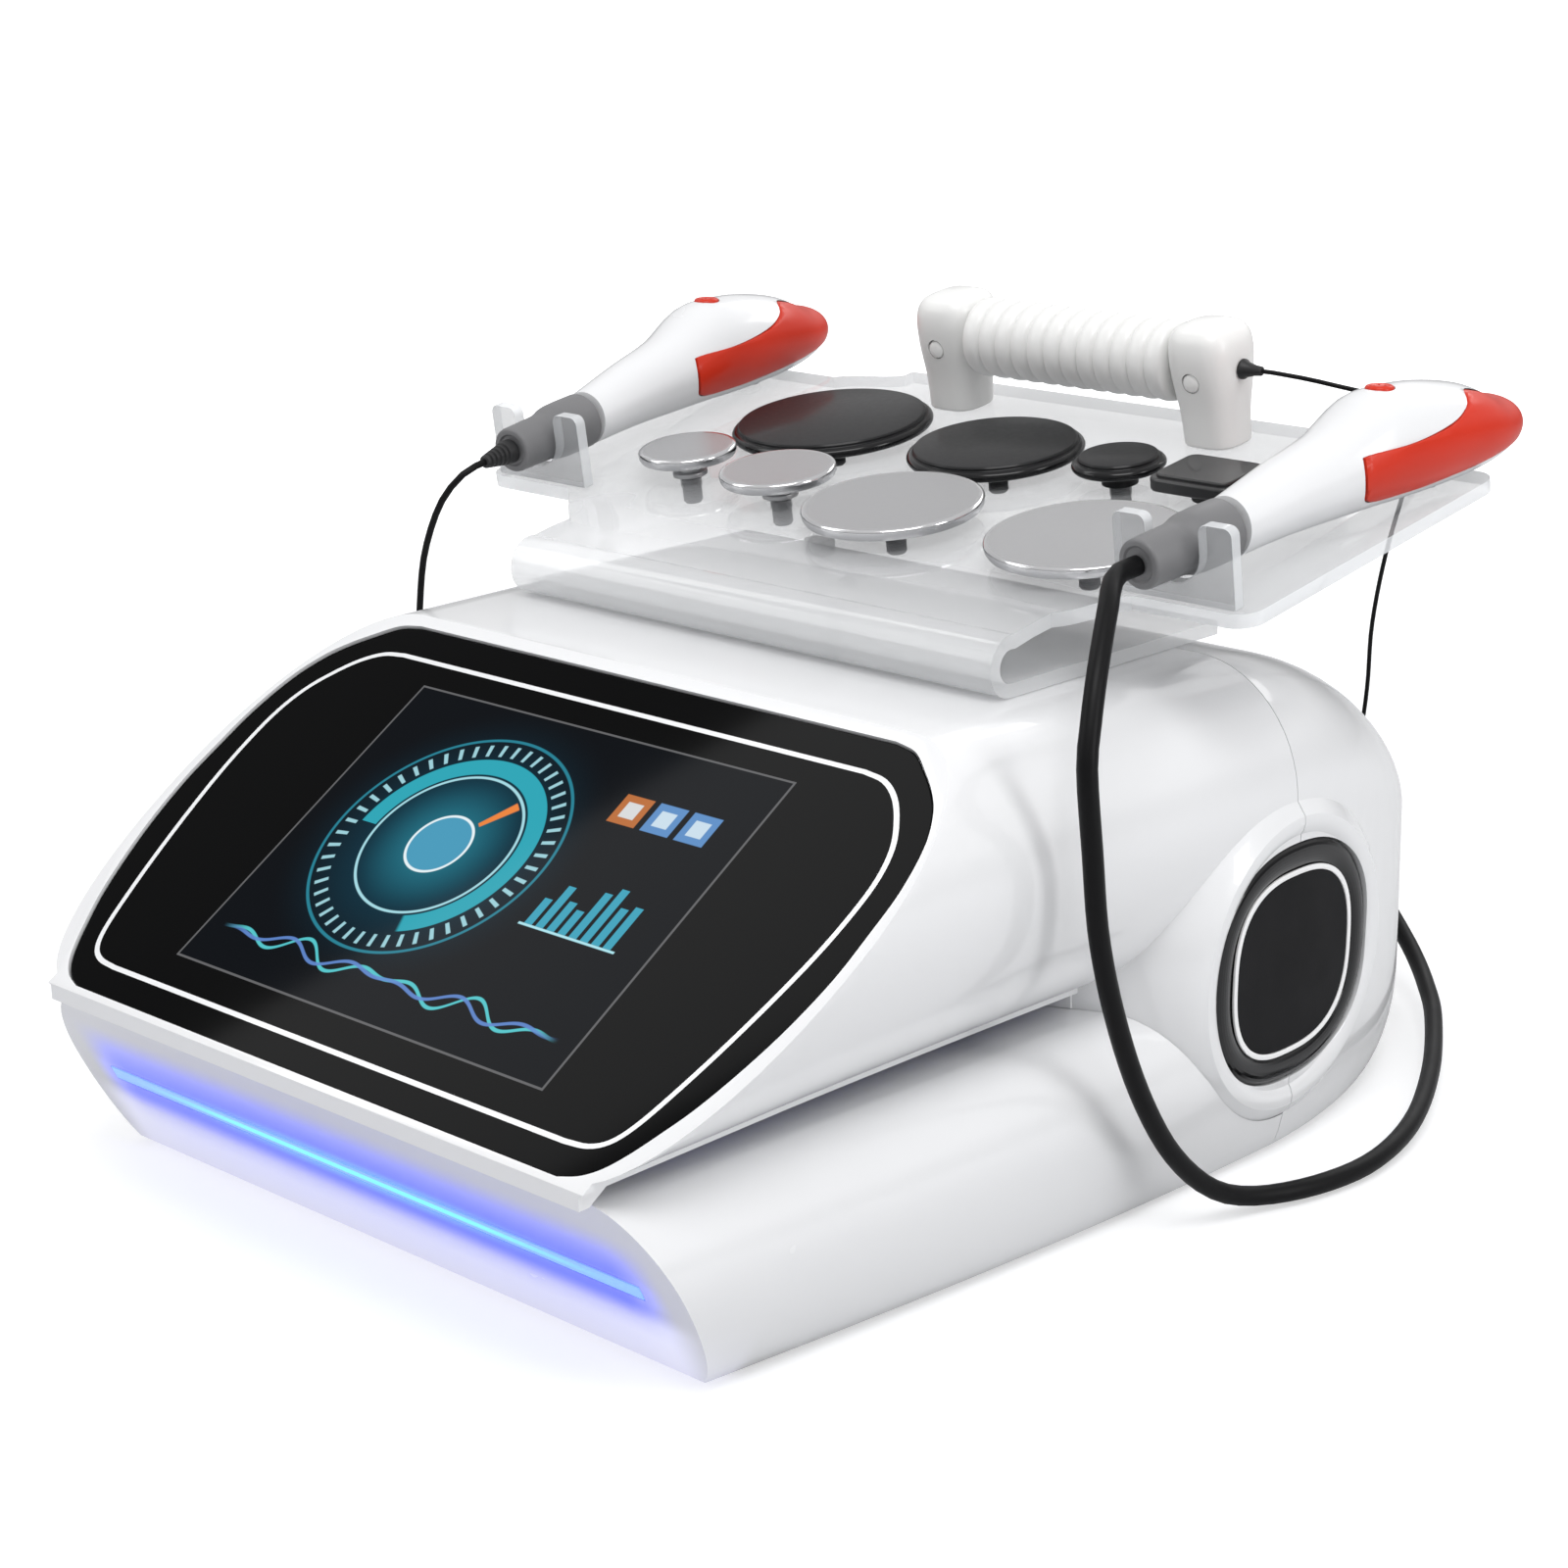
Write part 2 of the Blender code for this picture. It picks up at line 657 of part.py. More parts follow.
def make_upper_housing():
    """White upper shell with the sloped screen face and the front halves of the bosses."""
    ys = [NOSE_Y + (SEAM_Y - GAP / 2 - NOSE_Y) * share for share in HOUSING_STATION_SHARES]
    body = loft("upper_housing", [housing_ring(y) for y in ys], white_plastic())
    for side in (1, -1):
        boolean(body, boss_half("boss", side, True), "UNION")
    boolean(body, above_slope("slope", GLASS_SINK))
    ys = [NOSE_Y + WALL, SCREEN_Y, 0, SEAM_Y + OVERRUN]
    cavity = loft("cavity", [housing_ring(y, WALL, PARTING_Z - OVERRUN) for y in ys], keep=False)
    boolean(cavity, above_slope("slope", -GLASS_T - LEDGE_T))
    boolean(body, cavity)
    for side in (1, -1):
        boolean(body, boss_half("hollow", side, True, WALL))
        boolean(body, cap_pocket(side))
    boolean(body, prism("pocket", glass_outline(GAP), -GLASS_T - GAP, OVERRUN, slope_matrix(), keep=False))
    window = [(DISPLAY_W / 2 + GAP, DISPLAY_H / 2 + GAP)]
    window += [(-window[0][0], window[0][1]), (-window[0][0], -window[0][1]), (window[0][0], -window[0][1])]
    boolean(body, prism("window", window, -OVERRUN, OVERRUN, slope_matrix(), keep=False))
    return body


def cap_pocket(side):
    """Hollow in a boss that takes the bezel of its cap."""
    top = BOSS_X + OVERRUN
    return prism("cap_pocket", squircle(CAP_R + GAP, CAP_POWER), BOSS_X + CAP_PROUD - CAP_T - GAP, top,
                 boss_matrix(side), keep=False)


def front_block(name, inset=0.0):
    """A block in front of the raked front face of the base."""
    turn = Matrix.Translation((0, BASE_FRONT_Y + inset / math.cos(BASE_RAKE), PARTING_Z))
    turn = turn @ Matrix.Rotation(BASE_RAKE, 4, "X")
    reach = HOUSING_HALF * 2
    outline = [(-reach, -reach), (reach, -reach), (reach, 0), (-reach, 0)]
    return prism(name, outline, -reach, reach, turn, keep=False)


def rake_y(z):
    """Place along Y of the raked front face at a height."""
    return BASE_FRONT_Y + (PARTING_Z - z) * math.tan(BASE_RAKE)


def make_base():
    """White base tray with the raked front face, open at the top."""
    ys = [BASE_FRONT_Y + (SEAM_Y - GAP / 2 - BASE_FRONT_Y) * share for share in HOUSING_STATION_SHARES]
    body = loft("base_shell", [base_ring(y) for y in ys], white_plastic())
    boolean(body, front_block("rake"))
    ys = [BASE_FRONT_Y, SCREEN_Y, 0, SEAM_Y + OVERRUN]
    cavity = loft("cavity", [base_ring(y, WALL, True) for y in ys], keep=False)
    boolean(cavity, front_block("rake", WALL))
    boolean(body, cavity)
    for side in (1, -1):
        boolean(body, boss("boss", side, GAP, True))
    slot_y = rake_y(BAR_Z)
    slot = box("slot", (0, slot_y, BAR_Z), (BAR_HALF * 2 + GAP * 2, OVERRUN, BAR_H + GAP * 2), keep=False)
    boolean(body, slot)
    return body


def tail_ring(y, inset=0.0):
    """Section of the rear shell, drawn in towards the back by a power curve."""
    half = housing_half(SEAM_Y)
    share = (y - SEAM_Y) / TAIL_REACH
    wide = (1 - max(0.0, share) ** TAIL_X_POWER) ** (1 / TAIL_X_POWER)
    tall = (1 - max(0.0, share) ** TAIL_Z_POWER) ** (1 / TAIL_Z_POWER)
    shoulder = (half - TOP_CORNER_W, DECK_Z - TOP_CORNER_H)
    points = arc(shoulder, TOP_CORNER_W, TOP_CORNER_H, math.pi / 2, 0)
    points.append((base_half(SEAM_Y), PARTING_Z - BASE_CORNER_H))
    points += base_lower(base_half(SEAM_Y), 1.0)
    shaped = []
    for x, z in points:
        new_x = x * wide * (1 - inset / (half * wide))
        mid = (DECK_Z + FLOOR_Z) / 2
        high = TAIL_CENTRE_Z + (z - TAIL_CENTRE_Z) * tall
        centre = TAIL_CENTRE_Z + (mid - TAIL_CENTRE_Z) * tall
        reach = (DECK_Z - FLOOR_Z) / 2 * tall
        shaped.append((new_x, centre + (high - centre) * (1 - inset / reach)))
    return at_y(both_halves(shaped), y)


def tail_stations(low, high):
    return [low + (high - low) * share for share in TAIL_STATION_SHARES]


def make_rear_shell():
    """White rounded rear shell with the rear halves of the bosses, open at both ends."""
    low = SEAM_Y + GAP / 2
    body = loft("rear_shell", [tail_ring(y) for y in tail_stations(low, TAIL_Y)], white_plastic())
    for side in (1, -1):
        boolean(body, boss_half("boss", side, False), "UNION")
    ys = [low - OVERRUN] + tail_stations(low, TAIL_Y)[::2] + [TAIL_Y, TAIL_Y + OVERRUN / 4]
    boolean(body, loft("cavity", [tail_ring(y, WALL) for y in ys], keep=False))
    for side in (1, -1):
        boolean(body, boss_half("hollow", side, False, WALL))
        boolean(body, cap_pocket(side))
    return body


def make_screen():
    glass = prism("touch_glass", glass_outline(), -GLASS_T, 0.0, slope_matrix(),
                  material("black_glass", (0.01, 0.01, 0.012), 0.05))
    w, h = DISPLAY_W / 2, DISPLAY_H / 2
    outline = [(w, h), (-w, h), (-w, -h), (w, -h)]
    top = -GLASS_T - GAP
    prism("display_module", outline, top - DISPLAY_T, top, slope_matrix(), material("display", (0.02, 0.05, 0.1), 0.3))
    return glass


def make_light_bar():
    y = rake_y(BAR_Z)
    return box("light_bar", (0, y + BAR_DEPTH / 2, BAR_Z), (BAR_HALF * 2, BAR_DEPTH, BAR_H),
               material("light_diffuser", (0.35, 0.55, 1.0), 0.4))


def make_side_cap(side, label):
    """Bezel, ring and disc of one side cap, each set into the one before."""
    frame = boss_matrix(side)
    face = BOSS_X + CAP_PROUD
    bezel = prism(f"{label}_cap_bezel", squircle(CAP_R, CAP_POWER), face - CAP_T, face, frame,
                  material("black_gloss", (0.01, 0.01, 0.01), 0.08))
    ring_floor = face - RING_T
    boolean(bezel, prism("groove", squircle(RING_R + GAP, RING_POWER), ring_floor, face + OVERRUN, frame, keep=False))
    ring = prism(f"{label}_cap_ring", squircle(RING_R, RING_POWER), ring_floor + GAP, face, frame,
                 material("white_trim", (0.9, 0.9, 0.9), 0.3))
    boolean(ring, prism("hole", squircle(RING_R - RING_W, RING_POWER), 0.0, face + OVERRUN, frame, keep=False))
    prism(f"{label}_cap_disc", squircle(RING_R - RING_W - GAP, RING_POWER), ring_floor + GAP, face - GAP, frame,
          material("black_matt", (0.03, 0.03, 0.032), 0.6))


def bed_z(y):
    """Height of the tray bed's top face; it leaves the front curl as a tangent."""
    end_y = CURL_Y - CURL_R * math.sin(TRAY_TILT)
    end_z = DECK_Z + GAP + CURL_R + CURL_R * math.cos(TRAY_TILT)
    return end_z + (y - end_y) * math.tan(TRAY_TILT)


def tray_front(x):
    """Front edge of the sheet beyond the curl: a slanted cut over the ramp, then the wing."""
    out = abs(x)
    ramp = min(1.0, max(0.0, (out - BED_HALF) / RAMP_W))
    turn = max(0.0, (out - WING_OUT + WING_CORNER_R) / WING_CORNER_R)
    return WING_FRONT_Y - RAMP_CUT * (1 - ramp) + WING_CORNER_R * (1 - math.sqrt(max(0.0, 1 - turn ** 2)))


def tray_rear(x):
    out = abs(x)
    ramp = min(1.0, max(0.0, (out - BED_HALF) / RAMP_W))
    turn = max(0.0, (out - WING_OUT + WING_CORNER_R) / WING_CORNER_R)
    return WING_REAR_Y + RAMP_CUT_REAR * (1 - ramp) - WING_CORNER_R * (1 - math.sqrt(max(0.0, 1 - turn ** 2)))


def tray_columns():
    """Places across the sheet: the bed, the ramp, the wing and its rounded corner."""
    ramp = [BED_HALF + RAMP_W * i / 4 for i in range(5)]
    corner = [WING_OUT - WING_CORNER_R * (1 - math.sin(math.pi / 6 * i)) for i in range(4)]
    half = [BED_HALF / 2] + ramp + corner
    return [-x for x in reversed(half)] + [0.0] + half


def tray_height(x, y):
    """Top face of the sheet away from the curl."""
    ramp = min(1.0, max(0.0, (abs(x) - BED_HALF) / RAMP_W))
    return bed_z(y) + WING_RISE * (3 * ramp ** 2 - 2 * ramp ** 3)


def make_tray():
    """One bent acrylic sheet, from the leg on the deck round the curl to the bed and wings."""
    columns = tray_columns()
    bed_rows = sorted({round(edge(x), 6) for x in columns for edge in (tray_front, tray_rear) if abs(x) > BED_HALF})
    start_y = CURL_Y - CURL_R * math.sin(TRAY_TILT)
    bed_rows = [WING_FRONT_Y - RAMP_CUT] + bed_rows + [WING_REAR_Y + RAMP_CUT_REAR, BED_REAR_Y]
    centre_z = DECK_Z + GAP + CURL_R
    curl = [(LEG_REAR_Y, DECK_Z + GAP)]
    sweep = math.pi + TRAY_TILT
    for i in range(CURL_STEPS + 1):
        turn = sweep * i / CURL_STEPS
        curl.append((CURL_Y - CURL_R * math.sin(turn), centre_z - CURL_R * math.cos(turn)))
    bm = bmesh.new()
    inner = [x for x in columns if abs(x) <= BED_HALF]
    grid = {}
    row = 0
    for y, z in curl:
        for x in inner:
            grid[row, x] = bm.verts.new((x, y, z))
        row += 1
    for y in bed_rows:
        for x in columns:
            beyond = abs(x) > BED_HALF
            if y > start_y and (not beyond or tray_front(x) - GAP / 9 <= y <= tray_rear(x) + GAP / 9):
                grid[row, x] = bm.verts.new((x, y, tray_height(x, y)))
        row += 1
    for i in range(row - 1):
        for left, right in zip(columns, columns[1:]):
            corners = [grid.get(key) for key in ((i, left), (i, right), (i + 1, right), (i + 1, left))]
            corners = [corner for corner in corners if corner]
            if len(corners) > 2:
                bm.faces.new(corners)
    bmesh.ops.recalc_face_normals(bm, faces=bm.faces)
    tray = add_mesh("acrylic_tray", bm, clear_acrylic())
    wall = tray.modifiers.new("sheet", "SOLIDIFY")
    wall.thickness = TRAY_T
    wall.offset = -1.0
    wall.use_even_offset = True
    for (name, radius, kind, rise), shares in zip(ELECTRODES, ELECTRODE_SHARES):
        hole = [(STEM_R + GAP, OVERRUN), (STEM_R + GAP, -OVERRUN / 2)]
        boolean(tray, turned("stem_hole", hole, seat_matrix(shares), 12, keep=False))
    return tray


def on_bed(x, y, lift=0.0):
    """Frame on the sheet's top face: local Z is square to the bed."""
    place = Matrix.Translation((x, y, tray_height(x, y)))
    return place @ Matrix.Rotation(TRAY_TILT, 4, "X") @ Matrix.Translation((0, 0, lift))


def seat_matrix(shares):
    """Frame of an electrode's seat from its shares of the bed."""
    start_y = CURL_Y - CURL_R * math.sin(TRAY_TILT) + OVERRUN * SEAT_START_SHARE
    return on_bed(shares[0] * BED_HALF, start_y + shares[1] * BED_ALONG * math.cos(TRAY_TILT))


def make_electrode(name, radius, kind, rise, shares):
    """A disc or plate on a hub and stem that stands in a hole of the bed."""
    frame = seat_matrix(shares)
    neck = HUB_R * NECK_SHARE
    stem = [(neck, rise - DISC_T + EDGE_R), (neck, HUB_H + EDGE_R), (HUB_R, HUB_H), (HUB_R, GAP),
            (STEM_R, GAP), (STEM_R - EDGE_R / 2, -STEM_DROP)]
    metal = material("chrome", (0.75, 0.75, 0.76), 0.12, 1.0)
    coat = material("coating", (0.03, 0.03, 0.03), 0.35)
    if kind == "chrome":
        low = rise - DISC_T
        profile = [(radius - EDGE_R * 2, rise), (radius, rise - EDGE_R * TURN_SHARE),
                   (radius - EDGE_R / 2, low + EDGE_R), (radius - EDGE_R * 3, low), (HUB_R * 2, low)]
        return turned(name, profile + [(neck, low - HUB_H)] + stem[2:], frame, DISC_SIDES, metal)
    if kind == "coated":
        low = rise - COAT_T
        face = radius - COAT_LIP
        profile = [(face - EDGE_R, rise), (face, rise - EDGE_R), (face, rise - COAT_STEP),
                   (radius - EDGE_R, rise - COAT_STEP - EDGE_R), (radius, rise - COAT_T / 2),
                   (radius - EDGE_R * 2, low)]
        return turned(name, profile + stem[2:], frame, DISC_SIDES, coat)
    outline = rounded_box(PLATE_HALF_W, PLATE_HALF_L, PLATE_CORNER_R)
    plate = prism(name, outline, rise - COAT_T, rise - COAT_STEP, frame, coat)
    inner = rounded_box(PLATE_HALF_W - COAT_LIP, PLATE_HALF_L - COAT_LIP, PLATE_CORNER_R - COAT_LIP)
    boolean(plate, prism("face", inner, rise - COAT_T / 2, rise, frame, keep=False), "UNION")
    return boolean(plate, turned("stem", stem, frame, 12, keep=False), "UNION")


def rounded_box(half_x, half_y, radius, steps=3):
    """Outline of a rectangle with round corners."""
    points = []
    for sx, sy, start in ((1, 1, 0), (-1, 1, 1), (-1, -1, 2), (1, -1, 3)):
        for i in range(steps + 1):
            turn = math.pi / 2 * (start + i / steps)
            points.append((sx * (half_x - radius) + radius * math.cos(turn),
                           sy * (half_y - radius) + radius * math.sin(turn)))
    return points


def make_fork(side, label):
    """A clear plate with a U notch that carries the collar of a handpiece."""
    frame = on_bed(side * FORK_X, FORK_Y, GAP) @ Matrix.Rotation(math.pi / 2, 4, "X")
    tip = FORK_TIP_R
    half = [(FORK_HALF, 0.0), (FORK_HALF, FORK_H - tip), (FORK_HALF - tip, FORK_H),
            (FORK_NOTCH + tip, FORK_H), (FORK_NOTCH, FORK_H - tip)]
    bowl = arc((0.0, FORK_NOTCH_H), FORK_NOTCH, FORK_NOTCH, 0, -math.pi / 2, 4)
    points = half + bowl
    outline = points + [(-x, z) for x, z in reversed(points[:-1])]
    return prism(f"{label}_fork", outline, -FORK_T / 2, FORK_T / 2, frame, clear_acrylic())


def hand_frame():
    """Frame of the right handpiece: local Y runs along the body from collar to head."""
    turn = Matrix.Rotation(-HAND_YAW, 4, "Z") @ Matrix.Rotation(HAND_PITCH, 4, "X")
    return Matrix.Translation((HAND_X, HAND_Y, HAND_Z)) @ turn


def hand_rings(inset=0.0):
    """Oval sections of a handpiece's body."""
    rings = []
    for along, rise, tall, wide in HAND_SHARES:
        y = along * HAND_LENGTH
        if along == 1.0:
            y -= inset
        if along == 0.0:
            y += inset
        h = max(tall * HAND_HALF_H - inset, GAP * 3)
        w = max(wide * HAND_HALF_W - inset, GAP * 3)
        centre = rise * HAND_CREST
        rings.append([Vector((w * math.cos(t), y, centre + h * math.sin(t)))
                      for t in (2 * math.pi * (i + 0.5) / HAND_SIDES for i in range(HAND_SIDES))])
    return rings


def insert_band(name, grow=0.0):
    """Side outline of the red insert, as a block across the head."""
    points = [(y * HAND_LENGTH, z * HAND_HALF_H * 2) for y, z in INSERT_SHARES]
    mid = (sum(p[0] for p in points) / len(points), sum(p[1] for p in points) / len(points))
    grown = []
    for y, z in points:
        reach = math.hypot(y - mid[0], z - mid[1])
        grown.append((mid[0] + (y - mid[0]) * (1 + grow / reach), mid[1] + (z - mid[1]) * (1 + grow / reach)))
    wide = HAND_HALF_W * 2
    rings = [[Vector((x, y, z)) for y, z in grown] for x in (-wide, wide)]
    return loft(name, rings, keep=False)


def make_handpiece(side, label):
    """White body, red insert, push button, electrode socket and grey collar of one handpiece."""
    made = []
    body = loft(f"{label}_handpiece_body", hand_rings(), white_plastic())
    pocket = insert_band("pocket", GAP * 2)
    boolean(pocket, loft("core", hand_rings(INSERT_DEPTH + GAP), keep=False))
    boolean(body, pocket)
    along = BUTTON_ALONG / HAND_LENGTH
    top = hand_top(along)
    button_frame = Matrix.Translation((0, BUTTON_ALONG, top + BUTTON_PROUD))
    well = [(BUTTON_R + GAP, OVERRUN), (BUTTON_R + GAP, -BUTTON_T - BUTTON_TRAVEL - GAP)]
    boolean(body, turned("well", well, button_frame, 16, keep=False))
    foot = hand_bottom(SOCKET_ALONG / HAND_LENGTH)
    socket_frame = Matrix.Translation((0, SOCKET_ALONG, foot + GAP))
    bore = [(SOCKET_R + GAP, SOCKET_T + GAP), (SOCKET_R + GAP, -OVERRUN)]
    boolean(body, turned("bore", bore, socket_frame, 16, keep=False))
    made.append(body)
    insert = insert_band(f"{label}_handpiece_insert")
    boolean(insert, loft("skin", hand_rings(-INSERT_PROUD), keep=False), "INTERSECT")
    boolean(insert, loft("core", hand_rings(INSERT_DEPTH), keep=False))
    promote(insert, material("red_plastic", (0.75, 0.05, 0.03), 0.3))
    made.append(insert)
    cap = [(BUTTON_R - EDGE_R, 0.0), (BUTTON_R, -EDGE_R), (BUTTON_R, -BUTTON_T)]
    made.append(turned(f"{label}_handpiece_button", cap, button_frame, 16, insert.data.materials[0]))
    ring = [(SOCKET_R, SOCKET_T), (SOCKET_R, 0.0)]
    socket = turned(f"{label}_handpiece_socket", ring, socket_frame, 16, material("chrome", (0.75, 0.75, 0.76), 0.12, 1))
    thread = [(SOCKET_BORE_R, SOCKET_T * THREAD_SHARE), (SOCKET_BORE_R, -OVERRUN)]
    made.append(boolean(socket, turned("thread", thread, socket_frame, 12, keep=False)))
    lean = Matrix.Rotation(COLLAR_PITCH, 4, "X") @ Matrix.Rotation(math.pi / 2, 4, "X")
    front, step, full = [COLLAR_LENGTH * share for share in COLLAR_SHARES]
    sleeve = [(COLLAR_SLEEVE_R, COLLAR_LENGTH), (COLLAR_FRONT_R, COLLAR_LENGTH - EDGE_R),
              (COLLAR_FRONT_R + EDGE_R / 2, front), (COLLAR_REAR_R - EDGE_R, step), (COLLAR_REAR_R, full),
              (COLLAR_REAR_R, EDGE_R * 3), (COLLAR_REAR_R - EDGE_R, EDGE_R * 2)]
    made.append(turned(f"{label}_handpiece_collar", sleeve, lean, COLLAR_SIDES,
                       material("grey_plastic", (0.32, 0.32, 0.33), 0.45)))
    place = hand_frame() if side > 0 else Matrix.Scale(-1, 4, Vector((1, 0, 0))) @ hand_frame()
    for piece in made:
        piece.data.transform(place)
        if side < 0:
            piece.data.flip_normals()
        seat = button_frame.translation if piece.name.endswith("button") else Vector()
        pivoted(piece, place @ seat)
    return made


def promote(thing, finish):
    """Turn a cutter into a part."""
    cutters.objects.unlink(thing)
    parts.objects.link(thing)
    thing.hide_render = False
    thing.display_type = "TEXTURED"
    thing.data.materials.append(finish)
    thing.data.shade_smooth()
    thing.data.set_sharp_from_angle(angle=math.radians(35))


def hand_section(along):
    """Centre rise and half height of the handpiece at a share of its length."""
    for near, far in zip(HAND_SHARES, HAND_SHARES[1:]):
        if near[0] <= along <= far[0]:
            t = (along - near[0]) / (far[0] - near[0])
            rise = near[1] + (far[1] - near[1]) * t
            tall = near[2] + (far[2] - near[2]) * t
            return rise * HAND_CREST, tall * HAND_HALF_H
    raise ValueError("place outside the handpiece")


def hand_top(along):
    centre, half = hand_section(along)
    return centre + half


def hand_bottom(along):
    centre, half = hand_section(along)
    return centre - half


def handle_frame():
    return on_bed(HANDLE_X, HANDLE_Y, GAP)


def make_handle():
    """Ribbed grip between two white posts that stand on the bed."""
    finish = material("warm_white", (0.88, 0.88, 0.87), 0.35)
    pitch = GRIP_HALF * 2 / (GRIP_RIBS + 1)
    profile = [(GRIP_R - GRIP_GROOVE, GRIP_HALF)]
    for i in range(GRIP_RIBS):
        mid = GRIP_HALF - pitch * (i + 1)
        profile += [(GRIP_R - GRIP_GROOVE, mid + pitch * RIB_SHARES[0]), (GRIP_R, mid + pitch * RIB_SHARES[1]),
                    (GRIP_R, mid - pitch * RIB_SHARES[1])]
    profile.append((GRIP_R - GRIP_GROOVE, -GRIP_HALF))
    frame = handle_frame() @ Matrix.Translation((0, 0, GRIP_H)) @ Matrix.Rotation(math.pi / 2, 4, "Y")
    pivoted(turned("handle_grip", profile, frame, GRIP_SIDES, finish), handle_frame().translation)
    for side, label in ((1, "right"), (-1, "left")):
        rings = []
        for height, out, wide, deep in POST_SHARES:
            centre = side * (POST_X + out * POST_HALF_X * 2)
            ring = []
            for i in range(POST_SIDES):
                turn = 2 * math.pi * (i + 0.5) / POST_SIDES
                c, s = math.cos(turn), math.sin(turn)
                reach = 1 / (abs(c) ** POST_POWER + abs(s) ** POST_POWER) ** (1 / POST_POWER)
                point = Vector((centre + POST_HALF_X * wide * reach * c, POST_HALF_Y * deep * reach * s, height * POST_H))
                ring.append(handle_frame() @ point)
            rings.append(ring)
        post = loft(f"handle_post_{label}", rings, finish)
        head = handle_frame() @ Matrix.Translation((side * POST_X, -POST_HALF_Y, POST_SCREW_H))
        head = head @ Matrix.Rotation(math.pi / 2, 4, "X")
        recess = [(POST_SCREW_R, OVERRUN), (POST_SCREW_R, -POST_SCREW_T)]
        boolean(post, turned("recess", recess, head, 14, keep=False))
        pivoted(post, handle_frame().translation)


def panel_matrix(x=0.0, z=0.0, y=PANEL_Y):
    """Frame on the rear panel's outer face: local Z points backwards, local Y up."""
    return Matrix.Translation((x, y, z)) @ Matrix.Rotation(math.pi, 4, "Z") @ Matrix.Rotation(math.pi / 2, 4, "X")


def slit(name, x, z, width, height, low, high):
    """A square hole cutter on the rear panel, from low to high along the panel's outward direction."""
    outline = [(-width / 2, -height / 2), (width / 2, -height / 2), (width / 2, height / 2), (-width / 2, height / 2)]
    return prism(name, outline, low, high, panel_matrix(x, z), keep=False)


JACKS = (
    ("right_handpiece_jack", RIGHT_JACK_X, RIGHT_JACK_Z), ("left_handpiece_jack", LEFT_JACK_X, LEFT_JACK_Z),
    ("handle_jack", HANDLE_JACK_X, HANDLE_JACK_Z), ("return_plate_jack", PLATE_JACK_X, PLATE_JACK_Z),
)


def make_rear_panel():
    """Flat panel inside the rear opening, with vents and holes for the jacks and the power entry."""
    outline = tail_ring(PANEL_Y, WALL + GAP)
    rings = [[Vector((p.x, y, p.z)) for p in outline] for y in (PANEL_Y - PANEL_T, PANEL_Y)]
    panel = loft("rear_panel", rings, material("panel_grey", (0.72, 0.72, 0.73), 0.4))
    pitch = FAN_BORE_R * 2 / VENT_COUNT
    for i in range(VENT_COUNT):
        x = FAN_X + (i - (VENT_COUNT - 1) / 2) * pitch
        chord = math.sqrt(1 - ((x - FAN_X) / (FAN_BORE_R + VENT_W)) ** 2)
        boolean(panel, slit("vent", x, FAN_Z, VENT_W, VENT_H * chord, -OVERRUN, OVERRUN))
    boolean(panel, slit("entry", ENTRY_X, ENTRY_Z, ENTRY_W + GAP * 2, ENTRY_H + GAP * 2, -OVERRUN, OVERRUN))
    for name, x, z in JACKS:
        hole = [(SOCKET_BODY_R + GAP, OVERRUN), (SOCKET_BODY_R + GAP, -OVERRUN)]
        boolean(panel, turned("jack_hole", hole, panel_matrix(x, z), 14, keep=False))
    return panel


def make_jack(name, x, z):
    """A panel socket with a flange outside and its body through the hole."""
    profile = [(SOCKET_BODY_R, GAP + SOCKET_NOSE_T), (SOCKET_BODY_R, GAP + SOCKET_FLANGE_T),
               (SOCKET_FLANGE_R, GAP + SOCKET_FLANGE_T), (SOCKET_FLANGE_R, GAP), (SOCKET_BODY_R, GAP),
               (SOCKET_BODY_R, -SOCKET_BODY_T)]
    jack = turned(name, profile, panel_matrix(x, z), 14, material("chrome", (0.75, 0.75, 0.76), 0.12, 1.0))
    top = GAP + SOCKET_NOSE_T
    bore = [(JACK_BORE_R, top + OVERRUN), (JACK_BORE_R, top - JACK_BORE_DEPTH)]
    return boolean(jack, turned("bore", bore, panel_matrix(x, z), 10, keep=False))


def make_plug(name, x, z):
    """A cord's plug: its shell meets the jack, and its pin stands in the bore."""
    low = SOCKET_NOSE_T + GAP * 2
    high = low + PLUG_LENGTH
    pin = JACK_BORE_R - GAP
    profile = [(PLUG_NECK_R * PLUG_TAIL_SHARE, high + PLUG_TAIL_LENGTH), (PLUG_NECK_R, high + EDGE_R), (PLUG_R - EDGE_R, high),
               (PLUG_R, high - EDGE_R), (PLUG_R, low), (pin, low), (pin, low - JACK_BORE_DEPTH + EDGE_R * 2)]
    return turned(name, profile, panel_matrix(x, z), 14, black_plastic())


def plug_end(x, z):
    """Where a cord leaves its plug."""
    reach = SOCKET_NOSE_T + GAP * 2 + PLUG_LENGTH + PLUG_TAIL_LENGTH
    return (x, PANEL_Y + reach + GAP, z), (x, PANEL_Y + reach + GAP + PLUG_R, z)


